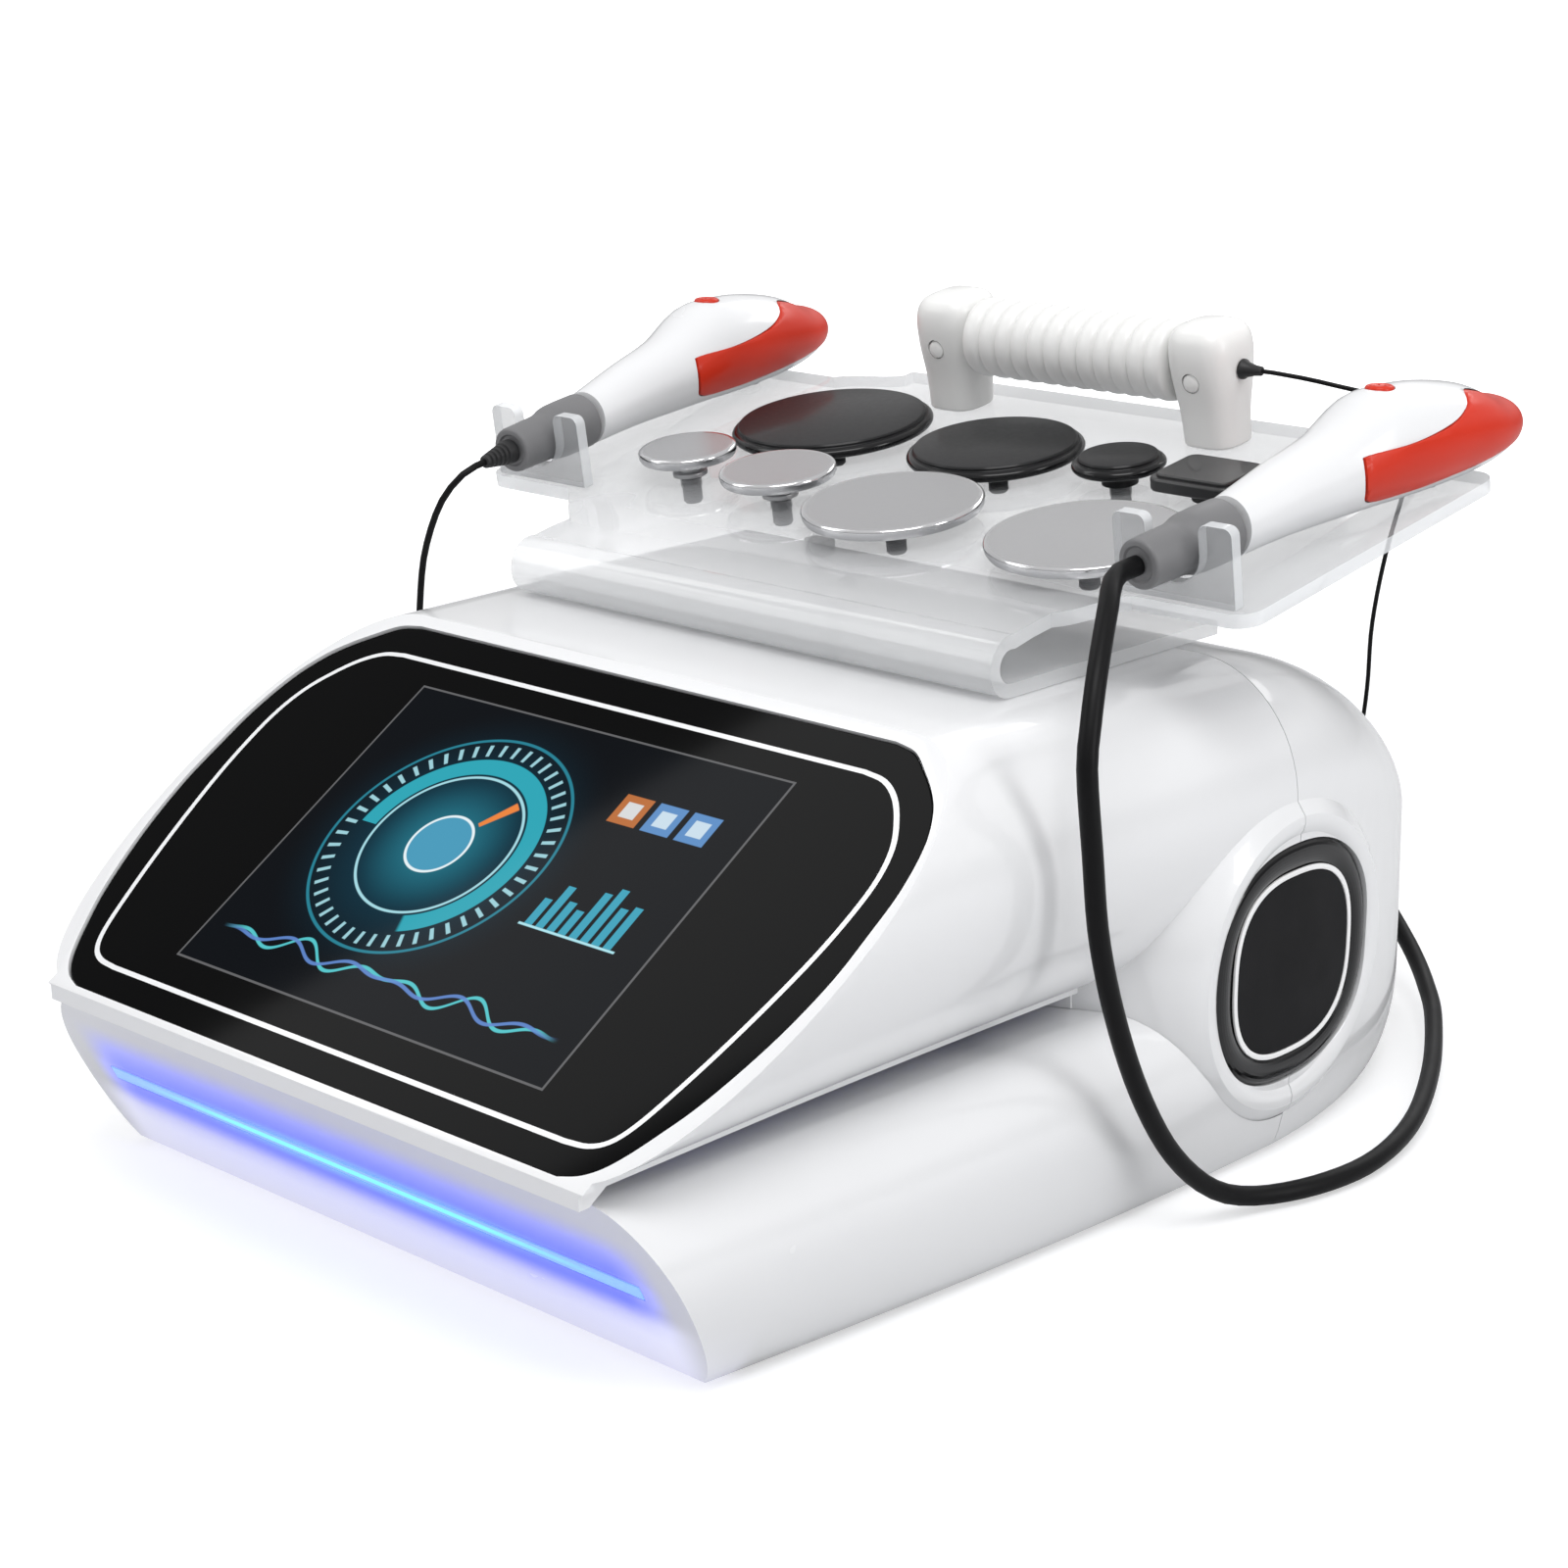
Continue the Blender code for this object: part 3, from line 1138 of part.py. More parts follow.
def make_power_entry():
    """Mains inlet and switch housing in one black module, with the rocker in its well."""
    frame = panel_matrix(ENTRY_X, ENTRY_Z)
    black = black_plastic()

    def block(name, w, h, x, z, low, high, keep=False):
        outline = [(x - w / 2, z - h / 2), (x + w / 2, z - h / 2), (x + w / 2, z + h / 2), (x - w / 2, z + h / 2)]
        return prism(name, outline, low, high, frame, black if keep else None, keep)

    top = GAP + ENTRY_FLANGE_T
    entry = block("power_entry", ENTRY_W + ENTRY_FLANGE * 2, ENTRY_H + ENTRY_FLANGE * 2, 0, 0, GAP, top, True)
    boolean(entry, block("body", ENTRY_W, ENTRY_H, 0, 0, -ENTRY_DEPTH, top - GAP), "UNION")
    boolean(entry, block("well", INLET_W, INLET_H, 0, INLET_Z, top - INLET_DEPTH, top + OVERRUN))
    for i in (-1, 0, 1):
        raised = PIN_H / 2 if i == 0 else -PIN_H / 4
        low = top - INLET_DEPTH - EDGE_R
        pin = block("pin", PIN_W, PIN_H, i * PIN_STEP, INLET_Z + raised, low, low + PIN_LENGTH)
        boolean(entry, pin, "UNION")
    play = GAP + ROCKER_DEPTH * math.sin(ROCKER_TURN)
    boolean(entry, block("switch", ROCKER_W + GAP * 2, ROCKER_H + play * 2, 0, ROCKER_Z,
                         top - ROCKER_DEPTH - play, top + OVERRUN))
    tip, dip, foot, keel = [ROCKER_DEPTH * share for share in ROCKER_SHARES]
    rocker = [(-ROCKER_H / 2, tip), (0, dip), (ROCKER_H / 2, tip), (ROCKER_H / 2, foot), (0, keel),
              (-ROCKER_H / 2, foot)]
    rings = [[frame @ Vector((x, ROCKER_Z + z, top + d)) for z, d in rocker] for x in (-ROCKER_W / 2, ROCKER_W / 2)]
    pivoted(loft("power_rocker", rings, black), frame @ Vector((0, ROCKER_Z, top)))


def make_fan():
    """Axial fan behind the vents: frame with a bearing boss on struts, and a bladed rotor."""
    frame = panel_matrix(FAN_X, FAN_Z, PANEL_Y - PANEL_T - GAP)
    black = black_plastic()
    half = FAN_SIZE / 2
    body = prism("fan_frame", rounded_box(half, half, half * FAN_CORNER_SHARE, 2), -FAN_T, 0.0, frame, black)
    bore = [(FAN_BORE_R, OVERRUN), (FAN_BORE_R, -FAN_T - OVERRUN)]
    boolean(body, turned("bore", bore, frame, 24, keep=False))
    disc = [(FAN_BOSS_R, -FAN_T + FAN_STRUT_W), (FAN_BOSS_R, -FAN_T)]
    spider = turned("spider", disc, frame, 16, keep=False)
    for i in range(3):
        turn = frame @ Matrix.Rotation(2 * math.pi * i / 3, 4, "Z")
        reach = FAN_BORE_R + FAN_STRUT_W / 2
        outline = [(FAN_BOSS_R / 2, -FAN_STRUT_W / 2), (reach, -FAN_STRUT_W / 2), (reach, FAN_STRUT_W / 2),
                   (FAN_BOSS_R / 2, FAN_STRUT_W / 2)]
        low, high = -FAN_T + GAP, -FAN_T + FAN_STRUT_W - GAP
        boolean(body, prism("strut", outline, low, high, turn, keep=False), "UNION")
    boolean(body, spider, "UNION")
    low = -FAN_T + FAN_STRUT_W + GAP
    hub = [(FAN_HUB_R - EDGE_R, low + FAN_ROTOR_T), (FAN_HUB_R, low + FAN_ROTOR_T - EDGE_R), (FAN_HUB_R, low)]
    rotor = turned("fan_rotor", hub, frame, 20, material("fan_grey", (0.05, 0.05, 0.05), 0.4))
    tip = FAN_BORE_R - FAN_TIP_PLAY
    for i in range(FAN_BLADES):
        turn = frame @ Matrix.Rotation(2 * math.pi * i / FAN_BLADES, 4, "Z")
        turn = turn @ Matrix.Translation((0, 0, low + FAN_ROTOR_T / 2)) @ Matrix.Rotation(FAN_BLADE_TURN, 4, "X")
        chord = FAN_ROTOR_T * FAN_CHORD_SHARE
        root = FAN_HUB_R * FAN_ROOT_SHARE
        reach = math.sqrt(tip ** 2 - chord ** 2)
        outline = [(root, -chord * FAN_ROOT_SHARE), (reach, -chord), (reach, chord), (root, chord * FAN_ROOT_SHARE)]
        blade = prism("blade", outline, -FAN_BLADE_T / 2, FAN_BLADE_T / 2, turn, keep=False)
        boolean(rotor, blade, "UNION")
    pivoted(rotor, frame @ Vector((0, 0, low + FAN_ROTOR_T / 2)))


def base_floor_z():
    return FLOOR_Z + WALL + GAP


def make_electronics():
    """Power supply and radio-frequency generator on the base floor, main board behind the display."""
    z = base_floor_z()
    box("power_supply", (SUPPLY_X, SUPPLY_Y, z + SUPPLY_H / 2), (SUPPLY_W, SUPPLY_L, SUPPLY_H),
        material("zinc_steel", (0.6, 0.61, 0.62), 0.4, 1.0), bevel=GAP * 4)
    board_z = z + GENERATOR_LEG_H
    board = box("rf_generator", (GENERATOR_X, GENERATOR_Y, board_z + BOARD_T / 2),
                (GENERATOR_W, GENERATOR_L, BOARD_T), material("board_green", (0.02, 0.2, 0.08), 0.5))
    for sx in (-1, 1):
        for sy in (-1, 1):
            x = GENERATOR_X + sx * (GENERATOR_W / 2 - GENERATOR_LEG_R * 2)
            y = GENERATOR_Y + sy * (GENERATOR_L / 2 - GENERATOR_LEG_R * 2)
            leg = [(GENERATOR_LEG_R, GENERATOR_LEG_H + BOARD_T / 2), (GENERATOR_LEG_R, 0.0)]
            boolean(board, turned("leg", leg, Matrix.Translation((x, y, z)), 8, keep=False), "UNION")
    top = board_z + BOARD_T
    sink = box("sink", (GENERATOR_X, GENERATOR_Y, top + SINK_BASE_T / 2 - BOARD_T / 2),
               (SINK_W, SINK_L, SINK_BASE_T), keep=False)
    for i in range(SINK_FINS):
        x = GENERATOR_X + (i / (SINK_FINS - 1) - 0.5) * (SINK_W - SINK_FIN_T)
        fin_h = SINK_FIN_H + SINK_BASE_T / 2
        fin = box("fin", (x, GENERATOR_Y, top + fin_h / 2), (SINK_FIN_T, SINK_L, fin_h), keep=False)
        boolean(sink, fin, "UNION")
    boolean(board, sink, "UNION")
    back = -GLASS_T - GAP - DISPLAY_T - GAP
    w, h = MAIN_BOARD_W / 2, MAIN_BOARD_H / 2
    main = prism("main_board", [(w, h), (-w, h), (-w, -h), (w, -h)], back - BOARD_T, back, slope_matrix(),
                 material("board_green", (0.02, 0.2, 0.08), 0.5))
    w, h = MAIN_BOARD_PARTS_W / 2, MAIN_BOARD_H / 4
    block = prism("block", [(w, h), (-w, h), (-w, -h), (w, -h)], back - MAIN_BOARD_PARTS_T, back - BOARD_T / 2,
                  slope_matrix(), keep=False)
    boolean(main, block, "UNION")


def make_feet():
    """Four rubber feet, two under the base and two under the rear shell."""
    rubber = material("rubber", (0.03, 0.03, 0.03), 0.8)
    for side, name in ((1, "right"), (-1, "left")):
        front = [(FOOT_R - EDGE_R, FLOOR_Z - GAP), (FOOT_R, 0.0)]
        turned(f"front_foot_{name}", front, Matrix.Translation((side * FRONT_FOOT_X, FRONT_FOOT_Y, 0)), 16, rubber)
        rear = [(FOOT_R - EDGE_R, REAR_FOOT_TOP - GAP), (FOOT_R, 0.0)]
        turned(f"rear_foot_{name}", rear, Matrix.Translation((side * REAR_FOOT_X, REAR_FOOT_Y, 0)), 16, rubber)


def collar_front(side):
    """Point at the free end of a collar, and the direction that a cord leaves it in."""
    lean = hand_frame() @ Matrix.Rotation(COLLAR_PITCH, 4, "X")
    point = lean @ Vector((0, -COLLAR_LENGTH, 0))
    aim = (lean.to_3x3() @ Vector((0, -1, 0))).normalized()
    return Vector((side * point.x, point.y, point.z)), Vector((side * aim.x, aim.y, aim.z))


def aimed(point, aim):
    """Frame at a point with local Z along a direction."""
    return Matrix.Translation(point) @ aim.to_track_quat("Z", "Y").to_matrix().to_4x4()


def relief_place(point, aim):
    return aimed(point + aim * GAP, aim)


def handle_relief_place():
    """Where the handle's cord leaves the right post, and its direction along the grip."""
    out = POST_X + POST_HALF_X
    point = handle_frame() @ Vector((out, 0, HANDLE_RELIEF_H))
    return point, Vector((1, 0, 0))


def make_reliefs():
    point, aim = collar_front(-1)
    cone = [(RELIEF_TIP_R, RELIEF_LENGTH), (RELIEF_R, RELIEF_LENGTH * RELIEF_SHARE), (RELIEF_R, 0.0)]
    relief = turned("left_strain_relief", cone, relief_place(point, aim), 12, black_plastic())
    pivoted(relief, relief_place(point, aim).translation)
    point, aim = handle_relief_place()
    cone = [(HANDLE_RELIEF_TIP_R, HANDLE_RELIEF_LENGTH), (HANDLE_RELIEF_R, EDGE_R), (HANDLE_RELIEF_R, 0.0)]
    relief = turned("handle_strain_relief", cone, relief_place(point, aim), 12, black_plastic())
    pivoted(relief, relief_place(point, aim).translation)


def smooth_route(points, step):
    """Points about one step apart on a smooth curve through a route."""
    knots = [Vector(p) for p in points]
    padded = [knots[0] * 2 - knots[1]] + knots + [knots[-1] * 2 - knots[-2]]
    fine = []
    for i in range(1, len(padded) - 2):
        a, b, c, d = padded[i - 1:i + 3]
        for k in range(12):
            t = k / 12
            fine.append(0.5 * ((2 * b) + (c - a) * t + (2 * a - 5 * b + 4 * c - d) * t ** 2
                               + (3 * b - a - 3 * c + d) * t ** 3))
    fine.append(knots[-1])
    lengths = [0.0]
    for a, b in zip(fine, fine[1:]):
        lengths.append(lengths[-1] + (b - a).length)
    count = max(2, round(lengths[-1] / step))
    made = []
    j = 0
    for i in range(count + 1):
        want = lengths[-1] * i / count
        while j < len(fine) - 2 and lengths[j + 1] < want:
            j += 1
        t = (want - lengths[j]) / (lengths[j + 1] - lengths[j])
        made.append(fine[j].lerp(fine[j + 1], t))
    return made


def followed(route):
    """The route's points, moved back more and more towards the plugs when the tail's reach changes."""
    shift = (TAIL_REACH - ROUTE_REACH) * PANEL_SHARE
    last = len(route) - 1
    return [(x, y + shift * (i / last) ** 2, z) for i, (x, y, z) in enumerate(route)]


def make_cord(name, start, route, jack, diameter):
    """A cord from its exit along its route to its plug."""
    point, aim = start
    end, before = plug_end(*jack)
    lead = point + aim * max(diameter * CORD_LEAD_SHARE, CORD_LEAD_LEAST)
    points = [tuple(lead)] + followed(route) + [before]
    curve = bpy.data.curves.new(name, "CURVE")
    curve.dimensions = "3D"
    curve.bevel_depth = diameter / 2
    curve.bevel_resolution = 2
    curve.use_fill_caps = True
    step = max(diameter * CORD_STEP_SHARE, CORD_STEP_LEAST)
    line = [point] + smooth_route(points, step) + [Vector(end)]
    spline = curve.splines.new("POLY")
    spline.points.add(len(line) - 1)
    for knot, place in zip(spline.points, line):
        knot.co = (*place, 1.0)
    cord = bpy.data.objects.new(name, curve)
    curve.materials.append(material("cord_black", (0.02, 0.02, 0.02), 0.45))
    parts.objects.link(cord)
    return cord


def make_cords():
    """The thick right cord and the thin left and handle cords, each from its exit to its plug."""
    point, aim = collar_front(1)
    make_cord("right_cord", (point + aim * GAP, aim), RIGHT_ROUTE, (RIGHT_JACK_X, RIGHT_JACK_Z), RIGHT_CORD_D)
    point, aim = collar_front(-1)
    start = point + aim * (RELIEF_LENGTH + GAP * 2)
    make_cord("left_cord", (start, aim), LEFT_ROUTE, (LEFT_JACK_X, LEFT_JACK_Z), LEFT_CORD_D)
    point, aim = handle_relief_place()
    start = point + aim * (HANDLE_RELIEF_LENGTH + GAP * 2)
    make_cord("handle_cord", (start, aim), HANDLE_ROUTE, (HANDLE_JACK_X, HANDLE_JACK_Z), HANDLE_CORD_D)


def make_all():
    """Every sub-part of the machine, from the cabinet outwards."""
    clear_scene()
    make_upper_housing()
    make_base()
    make_rear_shell()
    make_screen()
    make_light_bar()
    make_tray()
    for (name, radius, kind, rise), shares in zip(ELECTRODES, ELECTRODE_SHARES):
        pivoted(make_electrode(name, radius, kind, rise, shares), seat_matrix(shares).translation)
    for side, label in ((1, "right"), (-1, "left")):
        make_side_cap(side, label)
        make_fork(side, label)
        make_handpiece(side, label)
    make_handle()
    make_rear_panel()
    make_power_entry()
    make_fan()
    for name, x, z in JACKS:
        make_jack(name, x, z)
    for name, x, z in JACKS[:3]:
        make_plug(name.replace("jack", "plug"), x, z)
    make_electronics()
    make_feet()
    make_reliefs()
    make_cords()


make_all()
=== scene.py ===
"""Looks of a desktop tecar therapy machine: cabinet, touch screen, clear tray, electrodes, handpieces, cords."""
import math

import bpy
from bpy.props import FloatProperty, FloatVectorProperty, IntProperty, PointerProperty
from bpy.types import Operator, Panel, PropertyGroup
from mathutils import Matrix, Vector


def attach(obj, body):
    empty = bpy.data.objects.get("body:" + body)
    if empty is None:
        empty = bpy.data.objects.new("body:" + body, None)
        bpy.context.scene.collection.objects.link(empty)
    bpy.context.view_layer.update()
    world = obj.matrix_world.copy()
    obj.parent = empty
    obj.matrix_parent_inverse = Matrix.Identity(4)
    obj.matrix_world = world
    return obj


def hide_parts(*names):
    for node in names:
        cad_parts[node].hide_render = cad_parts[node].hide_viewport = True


bl_info = {
    "name": "Tecar therapy machine",
    "version": (1, 0, 0),
    "blender": (4, 5, 0),
    "location": "View3D > Sidebar > Tecar",
    "description": "Builds the pieces and finishes of a tecar therapy machine on its packed frame",
    "category": "Object",
}

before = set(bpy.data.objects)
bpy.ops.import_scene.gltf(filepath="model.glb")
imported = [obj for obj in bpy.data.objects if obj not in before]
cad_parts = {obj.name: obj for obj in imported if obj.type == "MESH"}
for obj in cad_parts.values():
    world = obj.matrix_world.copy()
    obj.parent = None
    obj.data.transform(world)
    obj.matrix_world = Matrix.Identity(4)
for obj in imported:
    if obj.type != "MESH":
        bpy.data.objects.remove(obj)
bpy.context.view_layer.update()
GAP = 0.0003
FAR = 0.3
SIDES = ((1, "right"), (-1, "left"))

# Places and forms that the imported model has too
SCREEN_Y = -0.131
SCREEN_Z = 0.112
SCREEN_TILT = math.radians(32.13)
NOSE_Y = -0.204
SEAM_Y = 0.075
TAIL_Y = 0.204
FLOOR_Z = 0.002
PARTING_Z = 0.062
DECK_Z = 0.1595
BASE_FRONT_Y = -0.198
BASE_RAKE = math.radians(27)
BOSS_Y = 0.074
BOSS_Z = 0.066
BOSS_X = 0.154
BOSS_R = 0.050
CAP_POWER = 2.33
CAP_WIDE = 1.07
RING_POWER = 2.64
GLASS_T = 0.003
LEDGE_T = 0.0025
SHELL_T = 0.0028
TRAY_TILT = math.radians(9)
CURL_Y = -0.0096
CURL_R = 0.0098
TRAY_T = 0.0045
BED_HALF = 0.104
HAND_LENGTH = 0.139
PANEL_Y = 0.1985
CREST_X = 0.05
SHOULDER_W = 0.040
SHOULDER_H = 0.0425
BELLY_W = 0.034
BELLY_H = 0.049
SIDE_DROP = 0.0275
TAIL_END_Z = 0.025
BAR_Z = 0.031
RAKE_FRAME = Matrix.Translation((0, BASE_FRONT_Y, PARTING_Z)) @ Matrix.Rotation(BASE_RAKE, 4, "X")
SLOT_Y = BASE_FRONT_Y + (PARTING_Z - BAR_Z) * math.tan(BASE_RAKE)
GRIP_Z = 0.027
POST_X = 0.056
COLLAR_LENGTH = 0.040
COLLAR_LEAN = Matrix.Rotation(math.radians(6.8), 4, "X")
BUTTON_PLACE = Matrix.Translation((0, 0.072, 0.0336))
SOCKET_PLACE = Matrix.Translation((0, 0.094, -0.0017))
JACKS = {"right_handpiece": (0.0685, 0.0445), "left_handpiece": (-0.088, 0.050), "handle": (0.068, 0.072),
         "return_plate": (0.041, 0.040)}
PLUG_LOW = 0.0035 + GAP * 2
PLUG_HIGH = PLUG_LOW + 0.016


class Value:
    """One output of a shader node, which takes part in sums."""

    def __init__(self, finish, socket):
        self.finish = finish
        self.socket = socket

    def maths(self, operation, *values):
        return self.finish.maths(operation, *values)

    def __add__(self, other):
        return self.maths("ADD", self, other)

    def __sub__(self, other):
        return self.maths("SUBTRACT", self, other)

    def __rsub__(self, other):
        return self.maths("SUBTRACT", other, self)

    def __mul__(self, other):
        return self.maths("MULTIPLY", self, other)

    def __truediv__(self, other):
        return self.maths("DIVIDE", self, other)

    def __abs__(self):
        return self.maths("ABSOLUTE", self)

    def __pow__(self, other):
        return self.maths("POWER", self, other)

    __radd__ = __add__
    __rmul__ = __mul__


class Nodes:
    """A node tree, with short ways to add to it."""

    def __init__(self, tree):
        self.tree = tree

    def node(self, kind, settings=None, *values, output=0, **named):
        """A node of a type, with its settings first, then the values or links of its sockets."""
        made = self.tree.nodes.new(kind)
        for key, value in (settings or {}).items():
            if key == "stops":
                ramp = made.color_ramp
                while len(ramp.elements) < len(value):
                    ramp.elements.new(0.5)
                for element, (place, colour) in zip(ramp.elements, value):
                    element.position = place
                    element.color = (*colour, 1)
            else:
                setattr(made, key, value)
        pairs = list(enumerate(values)) + [(key.replace("_", " "), value) for key, value in named.items()]
        for key, value in pairs:
            self.link(made.inputs[key], value)
        return Value(self, made.outputs[output])

    def maths(self, operation, *values):
        return self.node("ShaderNodeMath", {"operation": operation}, *values)

    def link(self, socket, value):
        if isinstance(value, Value):
            self.tree.links.new(value.socket, socket)
        elif value is not None:
            socket.default_value = value

    def axes(self, vector):
        parts = self.tree.nodes.new("ShaderNodeSeparateXYZ")
        self.link(parts.inputs[0], vector)
        return [Value(self, output) for output in parts.outputs]

    def mixed(self, factor, first, second):
        made = self.tree.nodes.new("ShaderNodeMix")
        made.data_type = "RGBA"
        colour_sockets = [s for s in made.inputs if s.type == "RGBA"]
        self.link(made.inputs[0], factor)
        for socket, value in zip(colour_sockets, (first, second)):
            self.link(socket, value if isinstance(value, Value) else (*value[:3], 1))
        return Value(self, [s for s in made.outputs if s.type == "RGBA"][0])

    def step(self, value, low, high):
        """A smooth step from 0 to 1 between two values."""
        return self.node("ShaderNodeMapRange", {"interpolation_type": "SMOOTHSTEP"}, value, low, high, 0.0, 1.0)

    def seen(self):
        """1 for rays from the camera, straight or through a clear piece."""
        rays = self.tree.nodes.new("ShaderNodeLightPath").outputs
        return self.maths("MAXIMUM", *(Value(self, rays[f"Is {kind} Ray"]) for kind in ("Camera", "Transmission")))


class Finish(Nodes):
    """A material, its Principled shader and the nodes that feed it."""

    def __init__(self, name, colour, roughness, **fixed):
        self.material = bpy.data.materials.new(name)
        self.material.use_nodes = True
        super().__init__(self.material.node_tree)
        self.shader = self.tree.nodes["Principled BSDF"]
        self.material.diffuse_color = (*colour[:3], 1)
        settings = {"Base_Color": (*colour[:3], 1), "Roughness": roughness, **fixed}
        for key, value in settings.items():
            self.shader.inputs[key.replace("_", " ")].default_value = value

    def feed(self, name, value):
        """Link a value to one of the shader's own sockets."""
        self.link(self.shader.inputs[name], value)
        return self

    def glow(self, colour, strength=1.0):
        self.shader.inputs["Emission Strength"].default_value = strength
        return self.feed("Emission Color", colour)

    def place(self, **mapping):
        """Object coordinates, moved or turned by a Mapping node where asked."""
        where = self.node("ShaderNodeTexCoord", output="Object")
        return self.node("ShaderNodeMapping", None, where, **mapping) if mapping else where

    def noise(self, scale, detail=2.0, where=None):
        return self.node("ShaderNodeTexNoise", None, Vector=where or self.place(), Scale=scale, Detail=detail)

    def bump(self, height, strength, distance=0.0002):
        return self.feed("Normal", self.node("ShaderNodeBump", None, Height=height, Strength=strength,
                                             Distance=distance))

    def vary(self, low, high, scale):
        """Roughness that drifts between two values."""
        return self.feed("Roughness", self.noise(scale, 3.0) * (high - low) + low)


def moulded(name, colour, roughness, grain=900.0, depth=0.05, **fixed):
    """Moulded plastic: a faint surface grain, drifting gloss and slight colour variation."""
    finish = Finish(name, colour, roughness, **fixed)
    finish.vary(roughness * 0.8, roughness * 1.25, 35.0)
    shade = [c * 0.97 for c in colour[:3]]
    finish.feed("Base Color", finish.mixed(finish.noise(18.0), colour, shade))
    return finish.bump(finish.noise(grain, 2.0), depth)


def brushed(name, colour, roughness, stretch=(6.0, 900.0, 900.0), metallic=1.0):
    """Metal with fine straight brushing along one axis."""
    finish = Finish(name, colour, roughness, Metallic=metallic)
    streaks = finish.noise(1.0, 4.0, finish.place(Scale=stretch))
    finish.feed("Roughness", streaks * 0.18 + (roughness - 0.09))
    return finish.bump(streaks, 0.06)


def leave():
    bpy.ops.object.mode_set(mode="OBJECT")


def begin():
    """Leave edit mode, with nothing selected."""
    if bpy.context.object and bpy.context.object.mode != "OBJECT":
        leave()
    bpy.ops.object.select_all(action="DESELECT")


def choose(thing):
    """Make one object the selected and active one."""
    begin()
    thing.select_set(True)
    bpy.context.view_layer.objects.active = thing
    return thing


def edit(mode="SELECT"):
    bpy.ops.object.mode_set(mode="EDIT")
    bpy.ops.mesh.select_all(action=mode)


def applied(thing):
    """Put the object's place into its mesh."""
    choose(thing)
    bpy.ops.object.transform_apply(location=True, rotation=True, scale=True)
    return thing


def placed(thing, matrix):
    """Move a piece made at the origin by a matrix, and keep its faces outwards."""
    thing.data.transform(matrix)
    if matrix.determinant() < 0:
        thing.data.flip_normals()
    return thing


def tidy(thing, name, angle=30, merge=0.00001):
    """Merge doubles, face outwards, shade smooth up to an angle, and name the piece."""
    choose(thing)
    edit()
    bpy.ops.mesh.remove_doubles(threshold=merge)
    bpy.ops.mesh.normals_make_consistent(inside=False)
    leave()
    bpy.ops.object.shade_smooth_by_angle(angle=math.radians(angle))
    thing.name = name
    thing.data.name = name
    return thing


def turned(name, profile, sides=64, angle=30):
    """A turned piece: a disc extruded and resized along its profile of (radius, height)."""
    begin()
    radius, height = profile[0]
    bpy.ops.mesh.primitive_circle_add(vertices=sides, radius=radius, fill_type="NGON", location=(0, 0, height))
    thing = applied(bpy.context.object)
    edit()
    for (near, low), (far, high) in zip(profile, profile[1:]):
        bpy.ops.mesh.extrude_region_move(TRANSFORM_OT_translate={"value": (0, 0, high - low)})
        share = far / near
        bpy.ops.transform.resize(value=(share, share, 1), center_override=(0, 0, high))
    return tidy(thing, name, angle)


def raised(name, outline, low, high, angle=30):
    """A flat outline of (x, y), filled and extruded from low to high."""
    begin()
    bpy.ops.mesh.primitive_circle_add(vertices=len(outline), radius=1, fill_type="NGON", location=(0, 0, 0))
    thing = bpy.context.object
    for vertex, (x, y) in zip(thing.data.vertices, outline):
        vertex.co = (x, y, low)
    edit()
    bpy.ops.mesh.extrude_region_move(TRANSFORM_OT_translate={"value": (0, 0, high - low)})
    return tidy(thing, name, angle)


def sheet(rows):
    """An open grid through rows of points."""
    begin()
    bpy.ops.mesh.primitive_grid_add(x_subdivisions=len(rows[0]) - 1, y_subdivisions=len(rows) - 1, size=1,
                                    location=(0, 0, 0))
    thing = bpy.context.object
    for vertex, point in zip(thing.data.vertices, [point for row in rows for point in row]):
        vertex.co = point
    return thing


def skinned(name, rows, angle=30):
    """A grid whose rows are laid on closed sections, joined up and closed at its ends."""
    thing = sheet([list(row) + [row[0]] for row in rows])
    edit()
    bpy.ops.mesh.remove_doubles(threshold=0.00001)
    bpy.ops.mesh.select_all(action="DESELECT")
    bpy.ops.mesh.select_mode(type="EDGE")
    bpy.ops.mesh.select_non_manifold()
    bpy.ops.mesh.fill_holes(sides=0)
    return tidy(thing, name, angle)


def modified(thing, kind, **settings):
    """Add a modifier with its settings, and apply it."""
    choose(thing)
    step = thing.modifiers.new("step", kind)
    for key, value in settings.items():
        setattr(step, key, value)
    bpy.ops.object.modifier_apply(modifier=step.name)
    return thing


def cut(thing, tool, operation="DIFFERENCE"):
    """Cut, join or trim a piece with another one, which is used up."""
    modified(thing, "BOOLEAN", operation=operation, object=tool, solver="EXACT")
    bpy.data.objects.remove(tool, do_unlink=True)
    return thing


def softened(thing, width, segments=3, angle=35, weight=None):
    """Round the sharp edges of a piece; weight gives each of them its share of the width."""
    limit = {"limit_method": "ANGLE", "angle_limit": math.radians(angle)}
    if weight:
        choose(thing)
        edit("DESELECT")
        bpy.ops.mesh.select_mode(type="EDGE")
        bpy.ops.mesh.edges_select_sharp(sharpness=math.radians(angle))
        leave()
        shares = thing.data.attributes.new("bevel_weight_edge", "FLOAT", "EDGE")
        points = thing.data.vertices
        for edge, share in zip(thing.data.edges, shares.data):
            share.value = weight(*(points[i].co for i in edge.vertices)) if edge.select else 0.0
        limit = {"limit_method": "WEIGHT"}
    modified(thing, "BEVEL", width=width, segments=segments, use_clamp_overlap=True, harden_normals=False, **limit)
    bpy.ops.object.shade_smooth_by_angle(angle=math.radians(30))
    return thing


def linked(name, data):
    """A new object with its data, in the scene."""
    thing = bpy.data.objects.new(name, data)
    bpy.context.scene.collection.objects.link(thing)
    return thing


